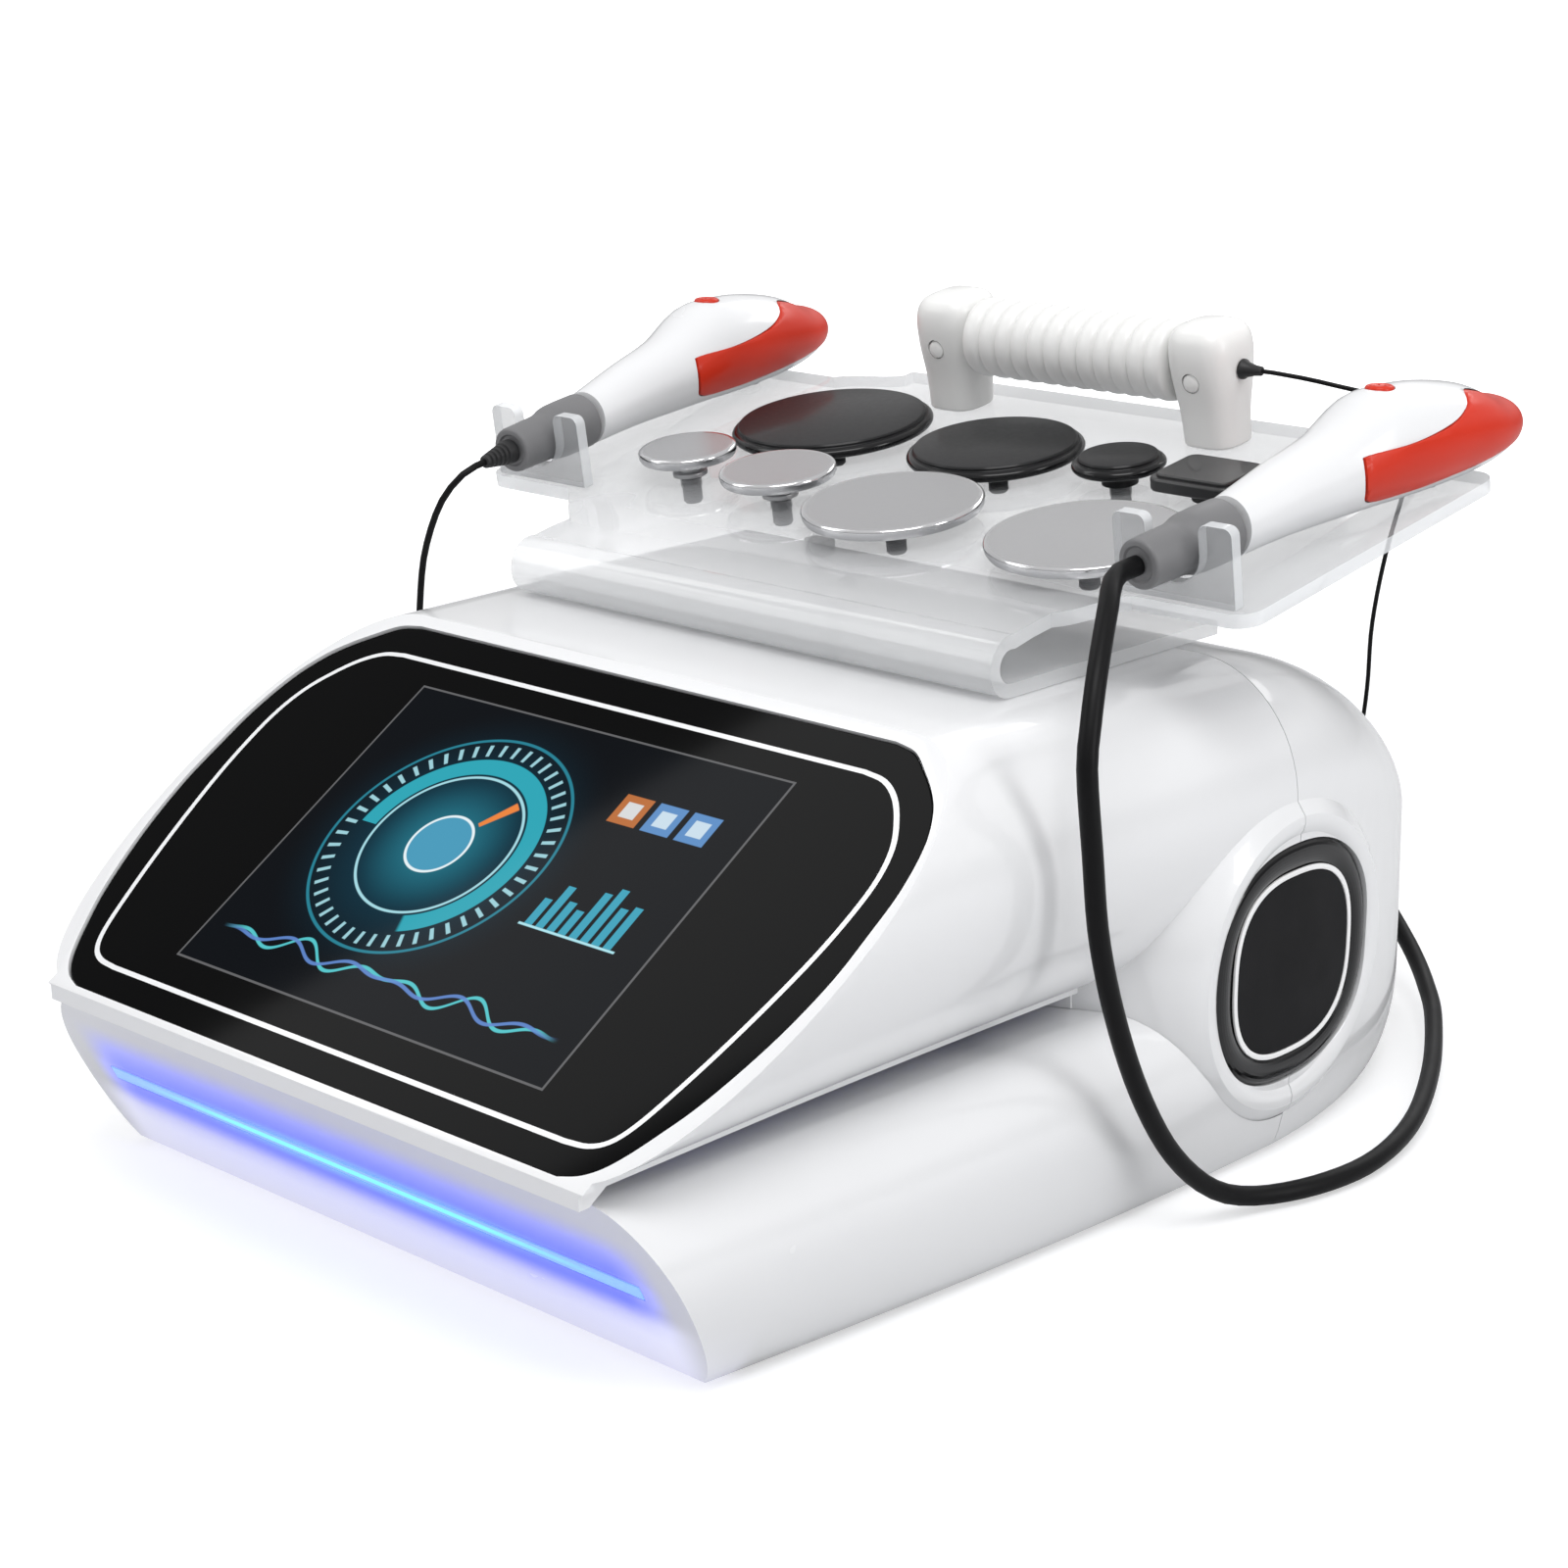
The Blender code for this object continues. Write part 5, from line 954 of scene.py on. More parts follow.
class TECAR_OT_cords(Operator):
    """Lay the three cords from the handpieces and the body handle to their plugs at the back"""

    bl_idname = "tecar.cords"
    bl_label = "Cords and plugs"

    def execute(self, context):
        jacket = Finish("cord_jacket", (0.003, 0.003, 0.0035), 0.40, Specular_IOR_Level=0.16)
        jacket.vary(0.34, 0.5, 60.0)
        jacket.bump(jacket.noise(1600.0), 0.08)
        black = moulded("plug_black", (0.014, 0.014, 0.015), 0.4).material
        for name, label, (point, aim), sleeve, route, diameter in (
            ("right_handpiece", "right", collar_front(1), GAP, RIGHT_ROUTE, sizes().cord_thick),
            ("left_handpiece", "left", collar_front(-1), 0.014 + GAP * 2, LEFT_ROUTE, sizes().cord_thin),
            ("handle", "handle", handle_exit(), 0.008 + GAP * 2, HANDLE_ROUTE, sizes().cord_handle),
        ):
            plug = finished(self.plug(), f"{name}_plug_shell", black, "black_plastic", f"{name}_plug",
                            place=panel_frame(*JACKS[name]))
            laid_cord(label, point + aim * sleeve, aim, route, JACKS[name], diameter, jacket.material)
        return {"FINISHED"}

    def plug(self):
        """A straight plug: knurled shell, tapered tail and the pin in its jack."""
        low, high = PLUG_LOW, PLUG_HIGH
        profile = [(0.0029, high + 0.008), (0.0033, high + 0.0078), (0.0036, high + 0.004), (0.0042, high + 0.0008),
                   (0.0052, high), (0.0059, high - 0.0007)]
        for i in range(8):
            ring = high - 0.002 - i * 0.0013
            profile += [(0.0060, ring), (0.00565, ring - 0.0003), (0.00565, ring - 0.0007), (0.0060, ring - 0.001)]
        profile += [(0.0060, low + 0.0004), (0.0056, low), (0.0027, low), (0.0027, low - 0.0074)]
        return turned("plug", profile, 48)


class TECAR_OT_stage(Operator):
    """Set the pale floor, the soft studio lights and the camera at the photograph's angle"""

    bl_idname = "tecar.stage"
    bl_label = "Stage"

    def execute(self, context):
        scene = context.scene
        scene.view_settings.view_transform = "Standard"
        begin()
        bpy.ops.mesh.primitive_plane_add(size=60, location=(0, 0, 0))
        floor = tidy(applied(context.object), "floor")
        pale = (0.66, 0.665, 0.675)
        paint = Finish("floor_pale", pale, 0.6, Specular_IOR_Level=0.1)
        paint.feed("Base Color", paint.mixed(paint.noise(3.0), pale, (0.64, 0.645, 0.655)))
        x, y, z = paint.axes(paint.place())
        away = paint.step(paint.maths("SQRT", x * x + y * y), 0.5, 1.6)
        level = away * 0.6 + 0.45
        white = paint.node("ShaderNodeCombineColor", None, level, level, level)
        floor.data.materials.append(paint.glow(paint.mixed(paint.seen(), (0, 0, 0), white)).material)
        world = bpy.data.worlds.new("studio")
        world.use_nodes = True
        scene.world = world
        sky = Nodes(world.node_tree)
        height = sky.axes(sky.node("ShaderNodeTexCoord", output="Generated"))[2]
        levels = ((0.0, 0.22), (0.13, 0.26), (0.26, 0.74), (0.50, 0.62), (1.0, 0.80))
        grey = sky.node("ShaderNodeValToRGB", {"stops": [(place, (v, v, v * 1.01)) for place, v in levels]}, height)
        sky.link(world.node_tree.nodes["Background"].inputs["Color"], sky.mixed(sky.seen(), grey, (1, 1, 1)))
        for name, place, size, power in (
            ("key", (0.5, -0.5, 1.5), (0.9, 0.6), 9.5), ("side", (1.6, 0.3, 0.75), (0.35, 1.2), 7.0),
            ("fill", (-1.2, -1.1, 0.9), (0.8, 0.8), 3.4), ("back", (-0.2, 1.6, 1.2), (1.4, 0.4), 4.5),
        ):
            aim = (Vector((0, 0, 0.1)) - Vector(place)).to_track_quat("-Z", "Y").to_matrix()
            self.lamp(name, place, aim, size, power)
        along, across = Vector((-0.487, -0.738, -0.468)).normalized(), Vector((0.772, -0.612, 0.160)).normalized()
        away = along.cross(across).normalized()
        mirrored = Matrix((along, away.cross(along), away)).transposed()
        self.lamp("sheen", (-1.006, -0.196, 1.275), mirrored, (0.80, 0.25), 2.0)
        lens = bpy.data.cameras.new("camera")
        lens.lens = 71.59
        lens.sensor_width = 36
        camera = linked("camera", lens)
        camera.location = (0.660655, -0.720506, 0.403184)
        camera.rotation_euler = (math.radians(90 - 16.702), 0, math.radians(42.361))
        scene.camera = camera
        return {"FINISHED"}

    def lamp(self, name, place, turn, size, power):
        light = bpy.data.lights.new(name, "AREA")
        light.shape = "RECTANGLE"
        light.size, light.size_y = size
        light.energy = power
        linked(name, light).matrix_world = Matrix.Translation(place) @ turn.to_4x4()


PICTURE_W = 0.1622
PICTURE_H = 0.1217


class TECAR_OT_screen(Operator):
    """Build the touch glass with its printed line, the lit picture and the light bar"""

    bl_idname = "tecar.screen"
    bl_label = "Touch screen"

    def execute(self, context):
        self.glass()
        self.printed_line()
        finished(raised("picture", self.window(0.0), -0.00012, 0.00002), "lit_picture", self.picture(), "display",
                 "display_module", place=slope())
        self.light_bar()
        return {"FINISHED"}

    def window(self, grow):
        w, h = PICTURE_W / 2 + grow, PICTURE_H / 2 + grow
        return [(-w, -h), (w, -h), (w, h), (-w, h)]

    def glass(self):
        """Black front glass with a soft edge and a shallow window for the picture."""
        glass = raised("front_glass", glass_outline(), -GLASS_T, 0)
        softened(glass, 0.0004, 3, 60)
        cut(glass, raised("window", self.window(0.0001), -0.00015, 0.01))
        black = (0.0008, 0.0009, 0.001)
        finish = Finish("screen_gloss", black, 0.06, Specular_IOR_Level=0.03)
        finish.vary(0.04, 0.08, 12.0)
        tint = finish.step(finish.noise(4.0), 0.3, 0.8)
        finish.feed("Base Color", finish.mixed(tint, black, (0.0018, 0.0019, 0.0021)))
        finished(glass, "front_glass", finish.material, "screen_glass", "touch_glass", place=slope(), angle=35)

    def printed_line(self):
        """White line printed all round, a little inside the glass edge."""
        width = sizes().line_width / 2
        outer, inner = (self.line_outline(side * width) for side in (1, -1))
        line = raised("line", outer, -0.0001, 0.00005)
        cut(line, raised("inside", inner, -0.01, 0.01))
        ink = moulded("line_white", (0.80, 0.81, 0.82), 0.22, 1200.0, 0.02, Coat_Weight=0.6).material
        finished(line, "printed_line", ink, "white_trim", place=slope())

    def line_outline(self, grow):
        """The line's course, by half widths and heights of its corners, drawn round."""
        half = [(0.1000, 0.0705), (0.1085, 0.0690), (0.1160, 0.0640), (0.1225, 0.0560), (0.1275, 0.0470),
                (0.1303, 0.0360), (0.1309, 0.0230), (0.1300, 0.0060), (0.1275, -0.0130), (0.1242, -0.0320),
                (0.1205, -0.0490), (0.1172, -0.0610), (0.1135, -0.0680), (0.1080, -0.0715), (0.1000, -0.0725)]
        points = smooth_outline(both_halves(half), 4)
        made = []
        count = len(points)
        for i in range(count):
            before, here, after = (Vector(points[(i + k) % count]) for k in (-1, 0, 1))
            run = (after - before).normalized()
            made.append(tuple(here + Vector((-run.y, run.x)) * grow))
        return made

    def light_bar(self):
        """Frosted bar in the raked face, lit blue-white."""
        bar = block((-0.118, SLOT_Y - 0.004, BAR_Z - 0.00225), (0.118, SLOT_Y + 0.006, BAR_Z + 0.00225))
        cut(bar, slab(-FAR, FAR, -0.0002, RAKE_FRAME))
        softened(bar, 0.0003, 2)
        finish = Finish("light_diffuser", (0.25, 0.55, 0.95), 0.4)
        x, y, z = finish.axes(finish.place())
        ends = finish.step(abs(x), 0.114, 0.03)
        ripple = finish.noise(60.0) * 0.2 + 0.8
        core = finish.mixed(finish.step(abs(z - BAR_Z), 0.0014, 0.0003) * ripple, colours().glow, colours().glow_core)
        finish.glow(finish.mixed(ends, (0.09, 0.13, 0.85), core), 1.6)
        finished(bar, "lit_bar", finish.material, "light_diffuser", "light_bar")

    def picture(self):
        """A made-up dial, bar chart, trace and tiles on a dark ground, lit, under a thin frame line."""
        finish = Finish("lit_picture", (0.0008, 0.001, 0.0012), 0.06, Specular_IOR_Level=0.03)
        x, y, z = finish.axes(finish.place())
        across = x * 1000
        up = (y - SCREEN_Y) * (1000 * math.cos(SCREEN_TILT)) + (z - SCREEN_Z) * (1000 * math.sin(SCREEN_TILT))

        def near(value, centre, half, soft=0.35):
            return finish.step(abs(value - centre), half + soft, half)

        def tile(left, low, wide):
            return near(across, left + wide / 2, wide / 2) * near(up, low + wide / 2, wide / 2)

        tint = colours().picture
        pale = (0.42, 0.78, 0.86)
        side, high = across + 22, up - 5
        reach = (side * side + high * high) ** 0.5
        turn = finish.maths("ARCTAN2", high, side)
        ticks = finish.step(finish.maths("SINE", turn * 48), 0.55, 0.8) * near(reach, 39.5, 2.2)
        swept = finish.step(turn, -1.25, -1.2) * near(reach, 32.5, 3.0)
        pointer = near(turn, 0.9, 0.05, 0.03) * near(reach, 20, 6.5)
        cell = finish.maths("FLOORED_MODULO", across - 30, 4.6)
        step = finish.maths("FLOOR", (across - 30) / 4.6)
        top = finish.maths("SINE", step * 1.7) * 5 + step * 1.3 + 10
        bars = near(across, 48.4, 18.4, 0.05) * near(cell, 2.3, 1.5, 0.1) * finish.step(up, -12.3, -12)
        layers = [
            (finish.step(reach, 58, 6) * 0.85, (0.004, 0.05, 0.085)), (finish.step(reach, 30, 4) * 0.7, tint),
            (ticks * 0.8, pale), (near(reach, 44, 0.35), tint), (swept * 0.9, (0.03, 0.42, 0.52)),
            (near(reach, 28, 0.3) * 0.9, pale), (near(reach, 0, 11) * 0.85, (0.08, 0.36, 0.55)),
            (near(reach, 11.4, 0.3), (0.8, 0.9, 0.93)), (pointer, (0.85, 0.24, 0.05)),
            (bars * finish.step(up + 12 - top, 0.2, 0) * 0.9, (0.05, 0.40, 0.55)),
            (near(across, 48.4, 19.5) * near(up, -12.6, 0.25), pale),
        ]
        for left in (29, 42.8, 56.6):
            layers.append((tile(left, 30, 11.0) * 0.9, (0.12, 0.30, 0.62) if left > 40 else (0.55, 0.17, 0.04)))
            layers.append((tile(left + 2.6, 32.6, 5.8) * 0.75, (0.75, 0.88, 0.92)))
        fade = near(across, 0, 62, 12)
        for phase, size, lit in ((0.0, 4.5, (0.10, 0.62, 0.66)), (1.4, 3.0, (0.12, 0.25, 0.62))):
            wave = finish.maths("SINE", across * 0.21 + phase) * finish.maths("SINE", across * 0.045) * size
            layers.append((near(up - wave, -45, 0.45) * fade * 0.9, lit))
        edge = finish.maths("MAXIMUM", abs(across) - (PICTURE_W * 500 - 0.35), abs(up) - (PICTURE_H * 500 - 0.35))
        layers.append((finish.step(abs(edge), 0.5, 0.3), (0.13, 0.13, 0.135)))
        image = (0.001, 0.002, 0.004)
        for share, lit in layers:
            image = finish.mixed(share, image, lit)
        return finish.glow(image).material


SEAT_SHARES = (
    ("chrome_electrode_17", 0.0175, 0.0105, -0.938, 0.325), ("chrome_electrode_20", 0.0203, 0.0105, -0.485, 0.302),
    ("chrome_electrode_31", 0.0306, 0.0083, 0.055, 0.272), ("chrome_electrode_33", 0.0327, 0.0083, 0.813, 0.279),
    ("black_electrode_37", 0.0365, 0.0083, -0.740, 0.609), ("black_electrode_31", 0.0310, 0.0083, -0.021, 0.611),
    ("black_electrode_16", 0.0160, 0.0105, 0.483, 0.614), ("black_plate_electrode", 0.0165, 0.0105, 0.84, 0.610),
)


def seat(across, along):
    """Frame of an electrode's seat on the bed, by shares of its half width and length."""
    y = CURL_Y - CURL_R * math.sin(TRAY_TILT) + 0.6 * 0.020 + along * 0.190 * math.cos(TRAY_TILT)
    return on_bed(across * BED_HALF, y)


def rounded_box(half_x, half_y, radius, steps=6):
    points = []
    for x, y, start in ((half_x, half_y, 0), (-half_x, half_y, 90), (-half_x, -half_y, 180), (half_x, -half_y, 270)):
        centre = (x - math.copysign(radius, x), y - math.copysign(radius, y))
        points += arc(centre, radius, radius, math.radians(start), math.radians(start + 90), steps)
    return points


def clear_finish(name, alpha=0.42, colour=(0.46, 0.47, 0.48)):
    """Clear acrylic: a grey tint seen flat on, paler along its edges, with painted light that makes it paler where it
    folds down to the deck.
    """
    finish = Finish(name, colour, 0.06, Coat_Weight=0.4, Specular_IOR_Level=0.6)
    haze = finish.noise(14.0, 3.0)
    x, y, z = finish.axes(finish.place())
    # Painted light: the sheet turns pale low down near the deck, standing in for the fold's highlights and lifting the
    # shade under the bed.
    high = finish.step(z, DECK_Z + 0.014, DECK_Z + 0.030)
    finish.feed("Base Color", finish.mixed(high, (0.88, 0.89, 0.90), colour))
    finish.feed("Alpha", haze * 0.04 + high * (alpha - 0.46) + 0.46)
    finish.feed("Roughness", haze * 0.06 + 0.04)
    return finish.material


class TECAR_OT_tray(Operator):
    """Build the bent clear tray with its curl and wings, its forks, the screw and the stop under it"""

    bl_idname = "tecar.tray"
    bl_label = "Clear tray"

    def execute(self, context):
        clear = clear_finish("clear_sheet")
        edge = clear_finish("clear_edge", 0.62, (0.86, 0.88, 0.90))
        pieces = [self.strip()] + [self.wing(side) for side in (1, -1)]
        begin()
        for piece in pieces:
            piece.select_set(True)
        context.view_layer.objects.active = pieces[0]
        bpy.ops.object.join()
        tray = tidy(pieces[0], "clear_tray", merge=0.00002)
        bed = max(tray.data.polygons, key=lambda polygon: polygon.center.z)
        if bed.normal.z < 0:
            edit()
            bpy.ops.mesh.flip_normals()
            leave()
        tray.data.materials.append(clear)
        tray.data.materials.append(edge)
        modified(tray, "SOLIDIFY", thickness=TRAY_T, offset=-1.0, use_even_offset=True, material_offset_rim=1)
        for name, radius, rise, across, along in SEAT_SHARES:
            hole = turned("hole", [(0.0038, 0.02), (0.0038, -0.01)], 32)
            cut(tray, placed(hole, seat(across, along)))
        softened(tray, 0.0005, 2, 50)
        finished(tray, "clear_tray", None, "clear_acrylic", "acrylic_tray")
        for side, label in SIDES:
            self.fork(side, label, clear, edge)
        self.fixings(clear)
        return {"FINISHED"}

    def strip(self):
        """The middle of the sheet: leg on the deck, curl, and the bed between the wings."""
        centre = DECK_Z + GAP + CURL_R
        path = [(0.098 - (0.098 - CURL_Y) * i / 6, DECK_Z + GAP) for i in range(6)]
        for i in range(25):
            turn = (math.pi + TRAY_TILT) * i / 24
            path.append((CURL_Y - CURL_R * math.sin(turn), centre - CURL_R * math.cos(turn)))
        path += [(y, bed_z(y)) for y in (0.0, *self.wing_places(0.0), 0.191)]
        return sheet([[(x, y, z) for x in stations(-BED_HALF, BED_HALF, 12)] for y, z in path])

    def wing_places(self, ramp, corner=0.0):
        """Places along the sheet from the front to the rear edge of a wing at one place across."""
        return stations(0.025 - 0.016 * (1 - ramp) + corner, 0.166 + 0.020 * (1 - ramp) - corner, 18)

    def wing(self, side):
        columns = [(BED_HALF + 0.018 * ramp, ramp, 0.0) for ramp in stations(0, 1, 8)]
        columns += [(0.134, 1.0, 0.0), (0.146, 1.0, 0.0)]
        for turn in stations(0, math.pi / 2, 6):
            columns.append((0.156 + 0.008 * math.sin(turn), 1.0, 0.008 * (1 - math.cos(turn))))
        lines = [[(side * x, y, sheet_z(x, y)) for y in self.wing_places(*rest)] for x, *rest in columns]
        return sheet(list(zip(*lines)))

    def fork(self, side, label, clear, edge):
        """A clear plate with a round-bottomed notch for a collar."""
        half = [(0.0217, 0.0)] + arc((0.0187, 0.0225), 0.003, 0.003, 0, math.pi / 2, 5)
        half += arc((0.0125, 0.0225), 0.003, 0.003, math.pi / 2, math.pi, 5)
        bowl = arc((0.0, 0.0155), 0.0095, 0.0095, 0, -math.pi / 2, 12)
        points = half + bowl
        outline = points + [(-x, z) for x, z in reversed(points[:-1])]
        fork = raised("fork", outline, -0.00225, 0.00225, 50)
        softened(fork, 0.0005, 2, 50)
        fork.data.materials.append(clear)
        fork.data.materials.append(edge)
        for polygon in fork.data.polygons:
            polygon.material_index = 0 if abs(polygon.normal.z) > 0.9 else 1
        finished(fork, f"{label}_clear_fork", None, "clear_acrylic", f"{label}_fork",
                 place=on_bed(side * 0.1368, 0.029, GAP) @ upright(0, 0, 0))

    def fixings(self, clear):
        """Screw that holds the leg on the deck, and the small clear stop beside it."""
        steel = brushed("screw_steel", (0.62, 0.62, 0.63), 0.22).material
        head = turned("leg_screw", [(0.0012, 0.0016), (0.0024, 0.0013), (0.0032, 0.0006), (0.0034, 0.0)], 40)
        cut(head, raised("slot", rounded_square(0.0013, 2.0, 6), 0.0007, 0.01))
        top = DECK_Z + GAP + TRAY_T + 0.0001
        finished(head, "leg_screw", steel, "chrome", place=Matrix.Translation((-0.0210, 0.0590, top)))
        stop = raised("leg_stop", rounded_box(0.005, 0.0035, 0.0015), 0.0, 0.006)
        softened(stop, 0.0006, 2, 50)
        finished(stop, "leg_stop", clear, "clear_acrylic", place=Matrix.Translation((-0.0560, 0.0840, top)))


def turned_finish(name, place, radius, face, rim, colour, metallic):
    """Turned disc: satin face with fine rings round its own centre, and a polished rim."""
    finish = Finish(name, colour, face, Metallic=metallic, Coat_Weight=0.0 if metallic else 0.25, Coat_Roughness=0.15,
                    Specular_IOR_Level=0.5 if metallic else 0.2)
    centre = place.translation
    x, y, z = finish.axes(finish.place())
    side = x - centre.x
    along = (y - centre.y) * math.cos(TRAY_TILT) + (z - centre.z) * math.sin(TRAY_TILT)
    reach = (side * side + along * along) ** 0.5
    edge = finish.step(reach, radius - 0.0022, radius - 0.0012)
    rings = finish.maths("SINE", reach * 9000)
    fine = finish.noise(500.0)
    finish.feed("Roughness", edge * (rim - face) + face + (fine - 0.5) * 0.08)
    shade = [c * (0.84 if metallic else 1.5) for c in colour]
    finish.feed("Base Color", finish.mixed(edge, shade, colour))
    finish.bump(rings * (1 - edge) + fine * 0.6, 0.12 if metallic else 0.08, 0.00005)
    return finish.material


def threaded(top, foot, radius):
    """Profile of a stem with the grooves of its thread."""
    profile = []
    count = int((top - foot - 0.0012) / 0.0008)
    for i in range(count):
        z = top - 0.0006 - i * 0.0008
        profile += [(radius, z), (radius - 0.00035, z - 0.0004)]
    return profile + [(radius, top - 0.0006 - count * 0.0008), (radius - 0.0007, foot)]


class TECAR_OT_electrodes(Operator):
    """Build the metal and the coated electrodes on their threaded stems"""

    bl_idname = "tecar.electrodes"
    bl_label = "Electrodes"

    def execute(self, context):
        for name, radius, rise, across, along in SEAT_SHARES:
            place = seat(across, along)
            slot = "coated_metal"
            if name.startswith("chrome"):
                disc = turned("disc", self.metal(radius, rise), 96)
                finish = turned_finish(f"metal_{name[17:]}", place, radius, 0.36, 0.12, (0.70, 0.70, 0.71), 1.0)
                slot = "chrome"
            elif name.startswith("black_electrode"):
                disc = turned("disc", self.coated(radius, rise), 96)
                finish = turned_finish(f"coat_{name[16:]}", place, radius, 0.50, 0.16, (0.006, 0.006, 0.0066), 0.0)
            else:
                disc = self.plate(rise)
                finish = moulded("coat_plate", (0.014, 0.014, 0.015), 0.42, 1500.0, 0.06, Coat_Weight=0.4).material
            finished(disc, f"{name}_disc", finish, slot, name, f"{name}_body", place)
        return {"FINISHED"}

    def stem(self):
        return [(0.0062, 0.0013), (0.0062, GAP), (0.0035, GAP)] + threaded(GAP, -0.010, 0.0035)

    def metal(self, radius, rise):
        """Thin metal disc with a rounded rim, on a cone and a hub."""
        low = rise - 0.0042
        rim = arc((radius - 0.0011, rise - 0.0011), 0.0011, 0.0011, math.pi / 2, 0, 6)
        return [(radius - 0.0040, rise - 0.0001), (radius - 0.0022, rise)] + rim + [
            (radius - 0.0002, rise - 0.0026), (radius - 0.0008, low + 0.0005), (radius - 0.0024, low),
            (0.0128, low), (0.0112, low - 0.0004), (0.0052, low - 0.0014), (0.0043, low - 0.0020),
            (0.0043, 0.0021), (0.0060, 0.0017)] + self.stem()

    def coated(self, radius, rise):
        """Coated disc: a flat top face over a wider rounded rim."""
        low = rise - 0.0058
        face = radius - 0.0024
        rim = arc((radius - 0.0022, rise - 0.0034), 0.0022, 0.0018, math.pi / 2, -math.pi / 2 * 0.8, 10)
        return [(face - 0.0012, rise), (face - 0.0004, rise - 0.0002), (face, rise - 0.0007),
                (face, rise - 0.0014)] + rim + [(radius - 0.0035, low), (0.0075, low), (0.0062, low - 0.0004)
                                                ] + self.stem()

    def plate(self, rise):
        """Coated plate with a raised face, on the same stem."""
        plate = raised("plate", rounded_box(0.0165, 0.0135, 0.005), rise - 0.0058, rise - 0.0012)
        softened(plate, 0.0009, 3, 50)
        face = raised("face", rounded_box(0.0145, 0.0115, 0.0035), rise - 0.003, rise)
        softened(face, 0.0006, 3, 50)
        cut(plate, face, "UNION")
        stem = turned("stem", [(0.0045, rise - 0.004), (0.0045, 0.0021), (0.0060, 0.0017)] + self.stem(), 48)
        return cut(plate, stem, "UNION")


# Along a handpiece: share of its length, rise of the middle, half height and half width
HAND_SHARES = (
    (0.0, 0.0, 0.533, 0.52), (0.165, 0.33, 0.655, 0.63), (0.33, 0.60, 0.79, 0.76), (0.46, 0.93, 1.0, 0.92),
    (0.56, 0.985, 1.01, 0.985), (0.66, 1.0, 0.965, 1.0), (0.795, 0.965, 0.82, 0.95), (0.885, 0.90, 0.60, 0.82),
    (0.955, 0.97, 0.40, 0.60), (1.0, 1.05, 0.17, 0.24),
)
INSERT_SHARES = (
    (0.385, 0.03), (0.352, 0.16), (0.346, 0.40), (0.366, 0.455), (0.50, 0.51), (0.626, 0.59), (0.698, 0.69),
    (0.742, 0.79), (0.80, 0.76), (0.88, 0.66), (1.05, 0.60), (1.05, 0.42), (0.80, 0.20), (0.64, 0.105),
    (0.51, 0.045),
)


def blended(rows, place):
    """Smooth values between rows, whose first entries are their places in rising order."""
    last = len(rows) - 1
    i = max(k for k in range(last) if rows[k][0] <= place or k == 0)
    near, far = rows[i], rows[i + 1]
    span = far[0] - near[0]
    t = (place - near[0]) / span
    made = []
    for k in range(1, len(near)):
        slopes = []
        for j in (i, i + 1):
            a, b = rows[max(j - 1, 0)], rows[min(j + 1, last)]
            slopes.append((b[k] - a[k]) / (b[0] - a[0]) * span)
        made.append(near[k] * (2 * t ** 3 - 3 * t ** 2 + 1) + slopes[0] * (t ** 3 - 2 * t ** 2 + t)
                    + far[k] * (3 * t ** 2 - 2 * t ** 3) + slopes[1] * (t ** 3 - t ** 2))
    return made


def hand_solid(name, grow=0.0, sides=56):
    """Body of a handpiece, or the same drawn in or out."""
    rows = []
    for i in range(45):
        along = math.sin(i / 44 * math.pi / 2) ** 1.15
        rise, tall, wide = blended(HAND_SHARES, min(along, 1.0))
        y = along * HAND_LENGTH + (grow if i == 44 else 0) - (grow if i == 0 else 0)
        h, w = max(tall * 0.018 + grow, 0.0009), max(wide * 0.019 + grow, 0.0009)
        rows.append([Vector((w * math.cos(t), y, rise * 0.0151 + h * math.sin(t)))
                     for t in (2 * math.pi * (k + 0.5) / sides for k in range(sides))])
    return skinned(name, rows, angle=40)


def insert_block(grow=0.0):
    """The insert's side outline as a block right across the head."""
    points = [Vector((y * HAND_LENGTH, z * 0.036)) for y, z in INSERT_SHARES]
    middle = sum(points, Vector((0, 0))) / len(points)
    outline = smooth_outline([tuple(p + (p - middle).normalized() * grow) for p in points], 5)
    across = Matrix(((0, 0, 1, 0), (1, 0, 0, 0), (0, 1, 0, 0), (0, 0, 0, 1)))
    return placed(raised("band", outline, -0.04, 0.04), across)


